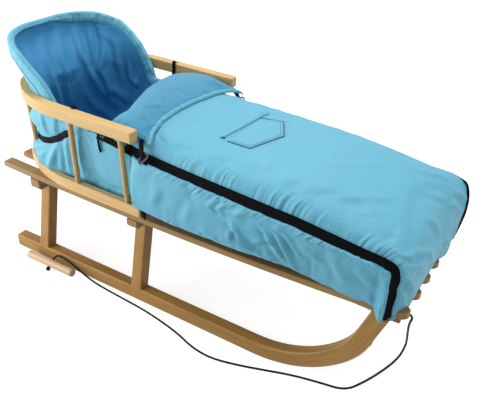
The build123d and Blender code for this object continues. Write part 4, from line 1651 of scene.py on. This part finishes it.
def add_strap(name, points, width, face):
    """Webbing through the given points, in millimetres."""
    line = [p / 1000 for p in smooth_line(points)]
    piece = new_piece(name, strap_along(line, width / 1000, face), "zip_black", black_webbing)
    thicken(piece, WEBBING_THICKNESS, offset=0.0, subdivide=0)


def from_middle(p):
    """The way out of the hood, level, from its middle."""
    return Vector((p.x - HOOD_MIDDLE_X, p.y, 0.0))


def sideways(p):
    """The way out to the nearer side, and a little upward."""
    return Vector((0.0, p.y, 0.05))


def first_hit(pieces, start, way, above):
    """The point just above the first of some pieces that a line meets, in millimetres."""
    hits = [piece.ray_cast(start, way) for piece in pieces]
    place = min((hit[1] for hit in hits if hit[0]), key=lambda p: (p - start).length)
    return (place - way * above / 1000) * 1000


bpy.context.view_layer.update()
graph = bpy.context.evaluated_depsgraph_get()
shell_now = hood_shell.evaluated_get(graph)
outer_run = hood_place(0.0, HOOD_HEM)
print("shell is", round(shell_now.dimensions.x * 1000), "mm long")

# %% [markdown]
# ### Straps and loops
#
# The corner strap has to lie in the groove it makes, so each of its points is cast level at the
# shell and set 2 mm off it. The two loops are wound through given points around their hoops.

# %% Straps and loops
STRAP_WIDTH, HOOP_LOOP_WIDTH, RAIL_LOOP_WIDTH, MOUTH_LOOP_WIDTH = 13, 10, 7, 9
for side_name, side in (("right", -1), ("left", 1)):
    corner = []
    for k in range(23):
        share = 0.092 + 0.013 * k
        height = between(share, STRAP_LINE) / 1000
        spot = outer_run(share if side < 0 else 1 - share, 0.4)
        way = Vector((HOOD_MIDDLE_X - spot.x, -spot.y, 0)).normalized()
        corner.append(first_hit([shell_now], Vector((spot.x, spot.y, height)) - way * 0.1, way, 2.0))
    add_strap("corner_strap_" + side_name, corner, STRAP_WIDTH, from_middle)
    add_strap(
        "hoop_loop_" + side_name,
        [(-64, side * 134, 236), (-60, side * 142, 233), (-58, side * 146.5, 228), (-57, side * 146, 220),
         (-60, side * 141, 217)],
        HOOP_LOOP_WIDTH,
        sideways,
    )
    add_strap(
        "rail_loop_" + side_name,
        [(-203, side * 143, 366), (-203, side * 148, 392), (-203, side * 148, 405), (-203, side * 151, 409),
         (-203, side * 155, 405.5)],
        RAIL_LOOP_WIDTH,
        lambda p: Vector((0.0, -p.y, 0.4)),
    )
print("corner strap runs", round(sum((b - a).length for a, b in zip(corner, corner[1:]))), "mm")

# %% [markdown]
# ### Sliders, pullers and rings
#
# Each zip's slider is a small bevelled block at its rear end, with a cord puller that hangs down
# the panel. At the bag's mouth a flat wire ring holds a webbing loop. The ring is a tube along
# an oval with squared ends, closed on itself.

# %% Sliders, pullers and rings
SLIDER_AT = 0.016
SLIDER_SIZE = (0.011, 0.008, 0.005)
PULLER_LINE = [
    # x and z in metres, and how far off the panel in millimetres
    (-0.1555, 0.353, 4.5), (-0.1560, 0.347, 3.5), (-0.1565, 0.340, 3.0), (-0.1560, 0.333, 3.0),
    (-0.1550, 0.326, 3.0),
]
PULLER_RADIUS = 0.0021
RING_LONG, RING_SHORT, RING_WIRE = 0.0150, 0.0048, 0.0016
RING_SQUARE = 0.6
RING_STEPS = 24
for side_name, side in (("right", -1), ("left", 1)):
    at, ahead, across = zip_frame(side, SLIDER_AT)
    out = (ahead.cross(across) * side).normalized()
    axes = [way * size for way, size in zip((ahead, across, out), SLIDER_SIZE)]
    body = Matrix(axes).transposed().to_4x4()
    slider_bm = bmesh.new()
    bmesh.ops.create_cube(slider_bm, size=1.0, matrix=Matrix.Translation(at + out * 0.006) @ body)
    bmesh.ops.bevel(slider_bm, geom=slider_bm.edges[:], offset=0.0012, segments=2, profile=0.5,
                    affect="EDGES", material=-1)
    new_piece("zip_slider_" + side_name, slider_bm, "zip_black", dark_metal)
    wall_now = [bpy.data.objects["side_panel_" + side_name].evaluated_get(graph), shell_now]
    pull = [
        first_hit(wall_now, Vector((x, side * 0.3, z)), Vector((0, -side, 0)), above) / 1000
        for x, z, above in PULLER_LINE
    ]
    new_piece("zip_puller_" + side_name, tube_along(pull, PULLER_RADIUS, 8), "zip_black", black_webbing)

    ring_at = Vector((-0.040, side * 0.1575, 0.353))
    long_way = Vector((0.69, 0.0, 0.72))
    short_way = Vector((0.66, side * 0.40, -0.63)).normalized()
    ring_line = []
    for k in range(RING_STEPS + 1):
        turn = 2 * math.pi * k / RING_STEPS
        reach_a = math.copysign(abs(math.cos(turn)) ** RING_SQUARE, math.cos(turn))
        reach_b = math.copysign(abs(math.sin(turn)) ** RING_SQUARE, math.sin(turn))
        ring_line.append(ring_at + long_way * RING_LONG * reach_a + short_way * RING_SHORT * reach_b)
    new_piece("ring_" + side_name, tube_along(ring_line, RING_WIRE, 8), "zip_black", dark_metal)
    add_strap(
        "mouth_loop_" + side_name,
        [(-50, side * 143, 386), (-48, side * 151, 376), (-44, side * 156, 366), (-40, side * 159, 356),
         (-40, side * 156, 347), (-34, side * 153.5, 343)],
        MOUTH_LOOP_WIDTH,
        sideways,
    )
print("rings are", round(2000 * RING_LONG), "mm long and", round(2000 * RING_SHORT), "mm wide")
